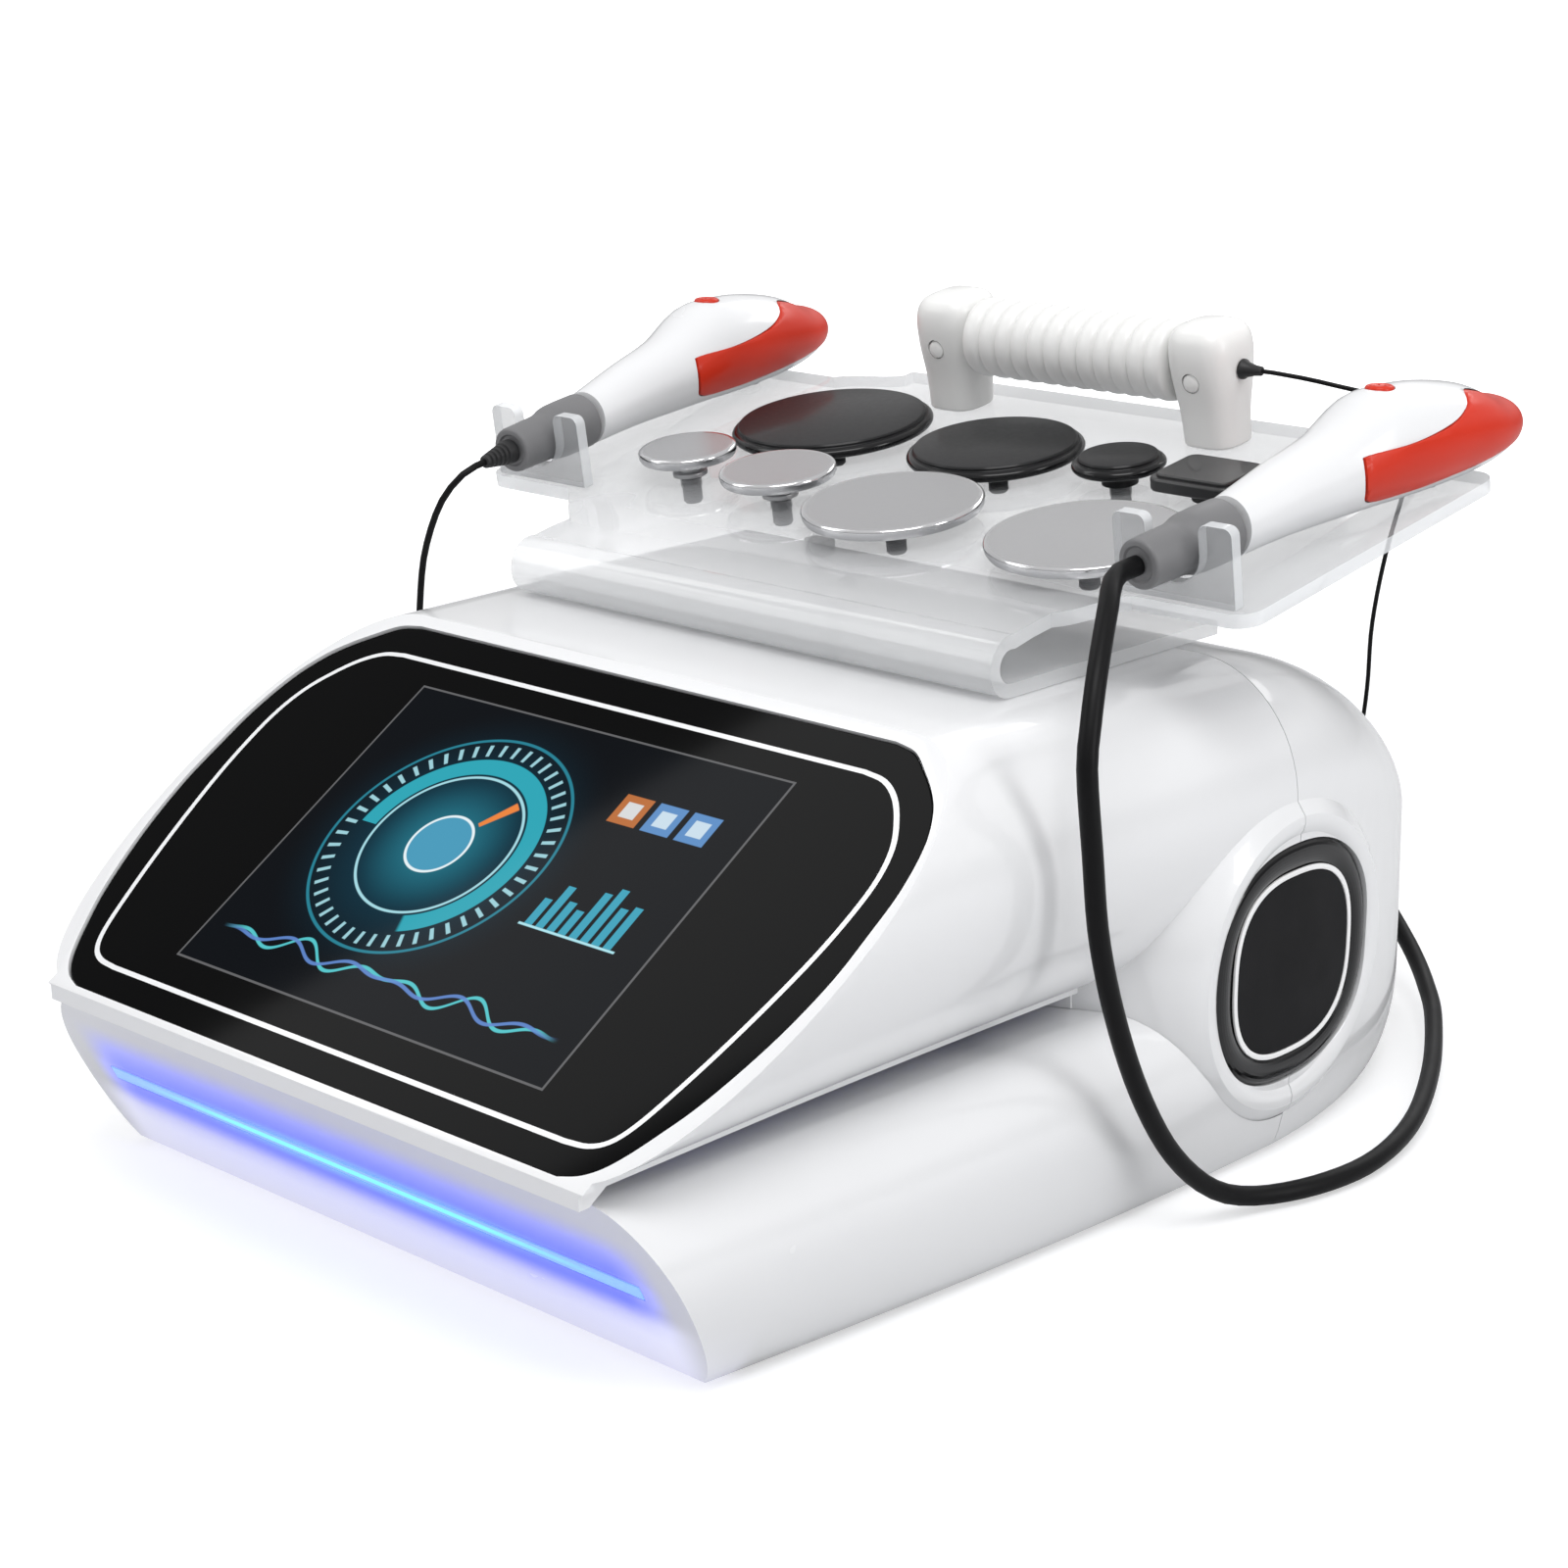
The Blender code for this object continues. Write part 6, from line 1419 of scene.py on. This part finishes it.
class TECAR_OT_handpieces(Operator):
    """Build both handpieces: shell, red insert, push button, electrode socket, collar and strain relief"""

    bl_idname = "tecar.handpieces"
    bl_label = "Handpieces"

    def execute(self, context):
        white = shell_finish("hand_white").material
        red = self.red_finish("insert_red")
        button = self.red_finish("button_red")
        grey = moulded("collar_grey", colours().collar, 0.42, 1100.0, 0.08).material
        steel = brushed("socket_steel", (0.66, 0.66, 0.67), 0.2).material
        made = [(self.shell(), white, "body", "white_shell"), (self.insert(), red, "insert", "red_plastic"),
                (self.button(), button, "button", "red_plastic"), (self.socket(), steel, "socket", "chrome"),
                (self.collar(), grey, "collar", "grey_plastic")]
        for side, label in SIDES:
            for piece, finish, part, slot in made:
                body = f"{label}_button" if part == "button" else f"{label}_handpiece"
                twin = copied(piece, f"{label}_hand_{part}", hand_frame(side))
                fitted(twin, finish, slot, f"{label}_handpiece_{part}", body)
        for piece, *rest in made:
            bpy.data.objects.remove(piece, do_unlink=True)
        self.relief()
        return {"FINISHED"}

    def red_finish(self, name):
        red = colours().accent
        finish = Finish(name, red, 0.32, Coat_Weight=0.15, Coat_Roughness=0.12, Specular_IOR_Level=0.2)
        finish.vary(0.28, 0.38, 40.0)
        finish.feed("Base Color", finish.mixed(finish.noise(22.0), red, [c * 0.72 for c in red]))
        return finish.bump(finish.noise(700.0), 0.03).material

    def shell(self):
        shell = hand_solid("hand_shell")
        pocket = insert_block(GAP * 2)
        cut(pocket, hand_solid("core", -0.0023))
        cut(shell, pocket)
        cut(shell, placed(turned("well", [(0.0049, 0.02), (0.0049, -0.0053)], 48), BUTTON_PLACE))
        cut(shell, placed(turned("bore", [(0.0063, 0.0083), (0.0063, -0.02)], 48), SOCKET_PLACE))
        return tidy(softened(shell, 0.0004, 2, 48), "hand_shell", 40)

    def insert(self):
        """Red insert that wraps the head in the shell's pocket, with a soft rim."""
        insert = insert_block()
        cut(insert, hand_solid("skin", 0.0005), "INTERSECT")
        cut(insert, hand_solid("core", -0.0020))
        return tidy(softened(insert, 0.0006, 3, 48), "hand_insert", 40)

    def button(self):
        """Round push button with a dished top, a ring and four small dimples."""
        profile = [(0.0006, -0.0003), (0.0018, -0.0003), (0.0026, -0.0001), (0.0030, 0.0), (0.0033, -0.0003),
                   (0.0036, -0.0003), (0.0039, -0.0001), (0.0043, -0.0003), (0.0046, -0.0009), (0.0046, -0.004)]
        cap = turned("cap", profile, 64, 40)
        for i in range(4):
            turn = math.radians(45 + 90 * i)
            dimple = turned("dimple", [(0.0004, 0.01), (0.0004, -0.0007)], 16)
            cut(cap, placed(dimple, Matrix.Translation((0.0017 * math.cos(turn), 0.0017 * math.sin(turn), 0))))
        return tidy(placed(cap, BUTTON_PLACE), "hand_button", 40)

    def socket(self):
        """Threaded metal socket that takes an electrode's stem."""
        ring = turned("ring", [(0.0058, 0.008), (0.0060, 0.0078), (0.0060, 0.0003), (0.0057, 0.0)], 48)
        bore = [(0.0035, 0.006)] + [(0.0035 + (0.00025 if i % 2 else 0), 0.0056 - i * 0.0005) for i in range(10)]
        cut(ring, turned("bore", bore + [(0.0038, 0.0004), (0.0042, -0.002)], 48))
        return tidy(placed(ring, SOCKET_PLACE), "hand_socket")

    def collar(self):
        """Two-step grey collar with a rounded front rim round the cord."""
        end = COLLAR_LENGTH
        profile = [(0.0052, end - 0.0006), (0.0058, end)]
        profile += arc((0.0068, end - 0.0011), 0.0011, 0.0011, math.pi / 2, 0, 5)
        profile += [(0.0082, end * 0.62), (0.0084, end * 0.55), (0.0087, end * 0.53), (0.0089, end * 0.505),
                    (0.0095, end * 0.46), (0.0098, end * 0.40), (0.0099, 0.010), (0.0098, 0.0024), (0.0095, 0.0019),
                    (0.0090, 0.0016)]
        lean = COLLAR_LEAN @ upright(0, 0, 0)
        return tidy(placed(turned("collar", profile, 72), lean), "hand_collar", 40)

    def relief(self):
        """Ribbed rubber sleeve where the thin cord leaves the left collar."""
        profile = [(0.0016, 0.014), (0.0022, 0.0136)]
        for i in range(5):
            z, r = 0.0128 - i * 0.0019, 0.0024 + i * 0.00034
            profile += [(r, z), (r - 0.0004, z - 0.0003), (r - 0.0004, z - 0.0008), (r + 0.0002, z - 0.0011)]
        profile += [(0.0042, 0.0030), (0.0042, 0.0)]
        rubber = moulded("sleeve_rubber", (0.012, 0.012, 0.013), 0.5, 1300.0, 0.1).material
        finished(turned("sleeve", profile, 48), "left_sleeve", rubber, "rubber", "left_strain_relief",
                 "left_handpiece", aimed(*collar_front(-1)))


POST_SHARES = (
    (0.0, 0.035, 0.84, 0.74), (0.28, 0.02, 0.88, 0.82), (0.61, 0.0, 1.0, 1.0), (0.85, -0.01, 1.0, 1.0),
    (0.965, -0.02, 0.80, 0.82), (1.0, -0.02, 0.50, 0.52),
)


class TECAR_OT_handle(Operator):
    """Build the ribbed body handle: grip, two posts with their plugs, and the strain relief"""

    bl_idname = "tecar.handle"
    bl_label = "Body handle"

    def execute(self, context):
        warm = moulded("warm_white", (0.87, 0.87, 0.855), 0.36, 800.0, 0.08, Coat_Weight=0.25).material
        grip_frame = handle_frame() @ Matrix.Translation((0, 0, GRIP_Z)) @ Matrix.Rotation(math.pi / 2, 4, "Y")
        finished(self.grip(), "ribbed_grip", warm, "warm_white", "handle_grip", "body_handle", grip_frame, 50)
        for side, label in SIDES:
            finished(self.post(side), f"{label}_handle_post", warm, "warm_white", f"handle_post_{label}",
                     "body_handle", handle_frame(), 40)
            finished(self.screw_plug(), f"{label}_screw_plug", warm, "warm_white", None, "body_handle",
                     handle_frame() @ self.screw_place(side))
        rubber = moulded("relief_rubber", (0.012, 0.012, 0.013), 0.5, 1300.0, 0.1).material
        sleeve = turned("sleeve", [(0.0012, 0.008), (0.0016, 0.0077), (0.0019, 0.0050), (0.0026, 0.0022),
                                   (0.0034, 0.0010), (0.0035, 0.0006), (0.0035, 0.0)], 40)
        finished(sleeve, "handle_sleeve", rubber, "rubber", "handle_strain_relief", "body_handle",
                 aimed(*handle_exit()))
        return {"FINISHED"}

    def screw_place(self, side):
        return upright(side * POST_X, -0.0135, 0.024)

    def grip(self):
        """Round grip with full ribs and narrow grooves."""
        count = sizes().rib_count + 1
        pitch = 0.087 / count
        profile = []
        for i in range(count * 10 + 1):
            place = 0.0435 - 0.087 * i / (count * 10)
            wave = abs(math.sin(math.pi * (0.0435 - place) / pitch)) ** 0.45
            profile.append((0.0142 - 0.0016 * (1 - wave), place))
        return turned("grip", profile, 72, 50)

    def post(self, side):
        """Rounded square post that widens towards the grip, with a round recess in front."""
        rows = []
        for turn in stations(0, math.pi / 2, 30):
            share = math.sin(turn)
            out, wide, deep = blended(POST_SHARES, share)
            middle = side * (POST_X + out * 0.0244)
            rows.append([Vector((middle + wide * x, deep * y, share * 0.0425)) for x, y in
                         ((0.0122 * c, 0.0135 * s) for c, s in rounded_square(1.0, 3.0, 64))])
        post = skinned("post", rows, angle=45)
        softened(post, 0.0008, 3, 50)
        recess = turned("recess", [(0.0036, 0.02), (0.0036, -0.0020)], 40)
        return cut(post, placed(recess, self.screw_place(side)))

    def screw_plug(self):
        """Small domed plug that closes the recess over the screw."""
        return turned("plug", [(0.0008, 0.0), (0.0022, -0.0001), (0.0030, -0.0004), (0.0033, -0.0009),
                               (0.0033, -0.0019)], 32)


class TECAR_OT_rear_fittings(Operator):
    """Build the sockets of the rear panel and the rocker, and finish the fan, the feet and the inner parts"""

    bl_idname = "tecar.rear_fittings"
    bl_label = "Rear fittings"

    def execute(self, context):
        steel = brushed("jack_steel", (0.62, 0.62, 0.63), 0.24).material
        for name, (x, z) in JACKS.items():
            finished(self.jack(), f"{name}_jack_shell", steel, "chrome", f"{name}_jack", place=panel_frame(x, z))
        black = moulded("entry_black", (0.016, 0.016, 0.017), 0.38, 900.0, 0.1).material
        finished(self.rocker(), "rocker_cap", black, "black_plastic", "power_rocker", "rocker")
        painted("power_entry", black)
        painted("fan_frame", moulded("fan_black", (0.014, 0.014, 0.015), 0.45, 700.0, 0.1).material)
        painted("fan_rotor", moulded("rotor_black", (0.022, 0.022, 0.024), 0.4, 700.0, 0.1).material)
        painted("rear_panel", brushed("panel_grey", (0.55, 0.55, 0.56), 0.4, (900.0, 900.0, 8.0), 0.0).material)
        painted("power_supply", brushed("supply_case", (0.45, 0.46, 0.47), 0.38, (8.0, 700.0, 700.0), 0.8).material)
        painted("main_board rf_generator",
                moulded("board_green", (0.012, 0.14, 0.06), 0.4, 400.0, 0.2, Coat_Weight=0.3).material)
        painted("front_foot_left front_foot_right rear_foot_left rear_foot_right",
                moulded("foot_rubber", (0.015, 0.015, 0.015), 0.7, 900.0, 0.2).material)
        return {"FINISHED"}

    def jack(self):
        """Round panel socket with a knurled nut and a countersunk bore."""
        profile = [(0.0058, 0.0038), (0.0065, 0.0033), (0.0065, 0.0021), (0.0080, 0.0021), (0.0085, 0.0016),
                   (0.0085, 0.0003), (0.0065, 0.0003), (0.0065, -0.0117), (0.0060, -0.012)]
        jack = turned("jack", profile, 48)
        bore = [(0.0042, 0.02), (0.0042, 0.0040), (0.0030, 0.0030), (0.0030, -0.0052)]
        return cut(jack, turned("bore", bore, 40))

    def rocker(self):
        """Rocker with a dipped face."""
        top = 0.0003 + 0.002
        side = [(-0.00625, 0.0020), (-0.0040, 0.0013), (0.0, 0.00096), (0.0040, 0.0013), (0.00625, 0.0020),
                (0.00625, -0.0024), (0.0, -0.0064), (-0.00625, -0.0024)]
        rows = [[Vector((x, PANEL_Y + top + d, 0.065 + z)) for z, d in side] for x in (-0.0655, -0.0465)]
        return softened(skinned("rocker", rows), 0.0004, 2, 40)


PIECES = (
    "stage", "cords", "housing", "base", "rear", "side_caps", "screen", "tray", "electrodes", "handpieces",
    "handle", "rear_fittings",
)
CLASSES = (
    TecarSizes, TecarColours, TECAR_OT_stage, TECAR_OT_cords, TECAR_OT_housing, TECAR_OT_base, TECAR_OT_rear,
    TECAR_OT_side_caps, TECAR_OT_screen, TECAR_OT_tray, TECAR_OT_electrodes, TECAR_OT_handpieces,
    TECAR_OT_handle, TECAR_OT_rear_fittings,
)


class TECAR_PT_panel(Panel):
    """Sizes, colours and one button for each group of pieces"""

    bl_idname = "TECAR_PT_panel"
    bl_label = "Tecar machine"
    bl_space_type = "VIEW_3D"
    bl_region_type = "UI"
    bl_category = "Tecar"

    def draw(self, context):
        column = self.layout.column()
        for group in (context.scene.tecar_sizes, context.scene.tecar_colours):
            for name in group.__annotations__:
                column.prop(group, name)
        for name in PIECES:
            column.operator(f"tecar.{name}")


def register():
    for item in CLASSES + (TECAR_PT_panel,):
        bpy.utils.register_class(item)
    bpy.types.Scene.tecar_sizes = PointerProperty(type=TecarSizes)
    bpy.types.Scene.tecar_colours = PointerProperty(type=TecarColours)


def unregister():
    del bpy.types.Scene.tecar_sizes
    del bpy.types.Scene.tecar_colours
    for item in reversed(CLASSES + (TECAR_PT_panel,)):
        bpy.utils.unregister_class(item)


def main():
    register()
    for name in PIECES:
        getattr(bpy.ops.tecar, name)()
    begin()


if __name__ == "__main__":
    main()
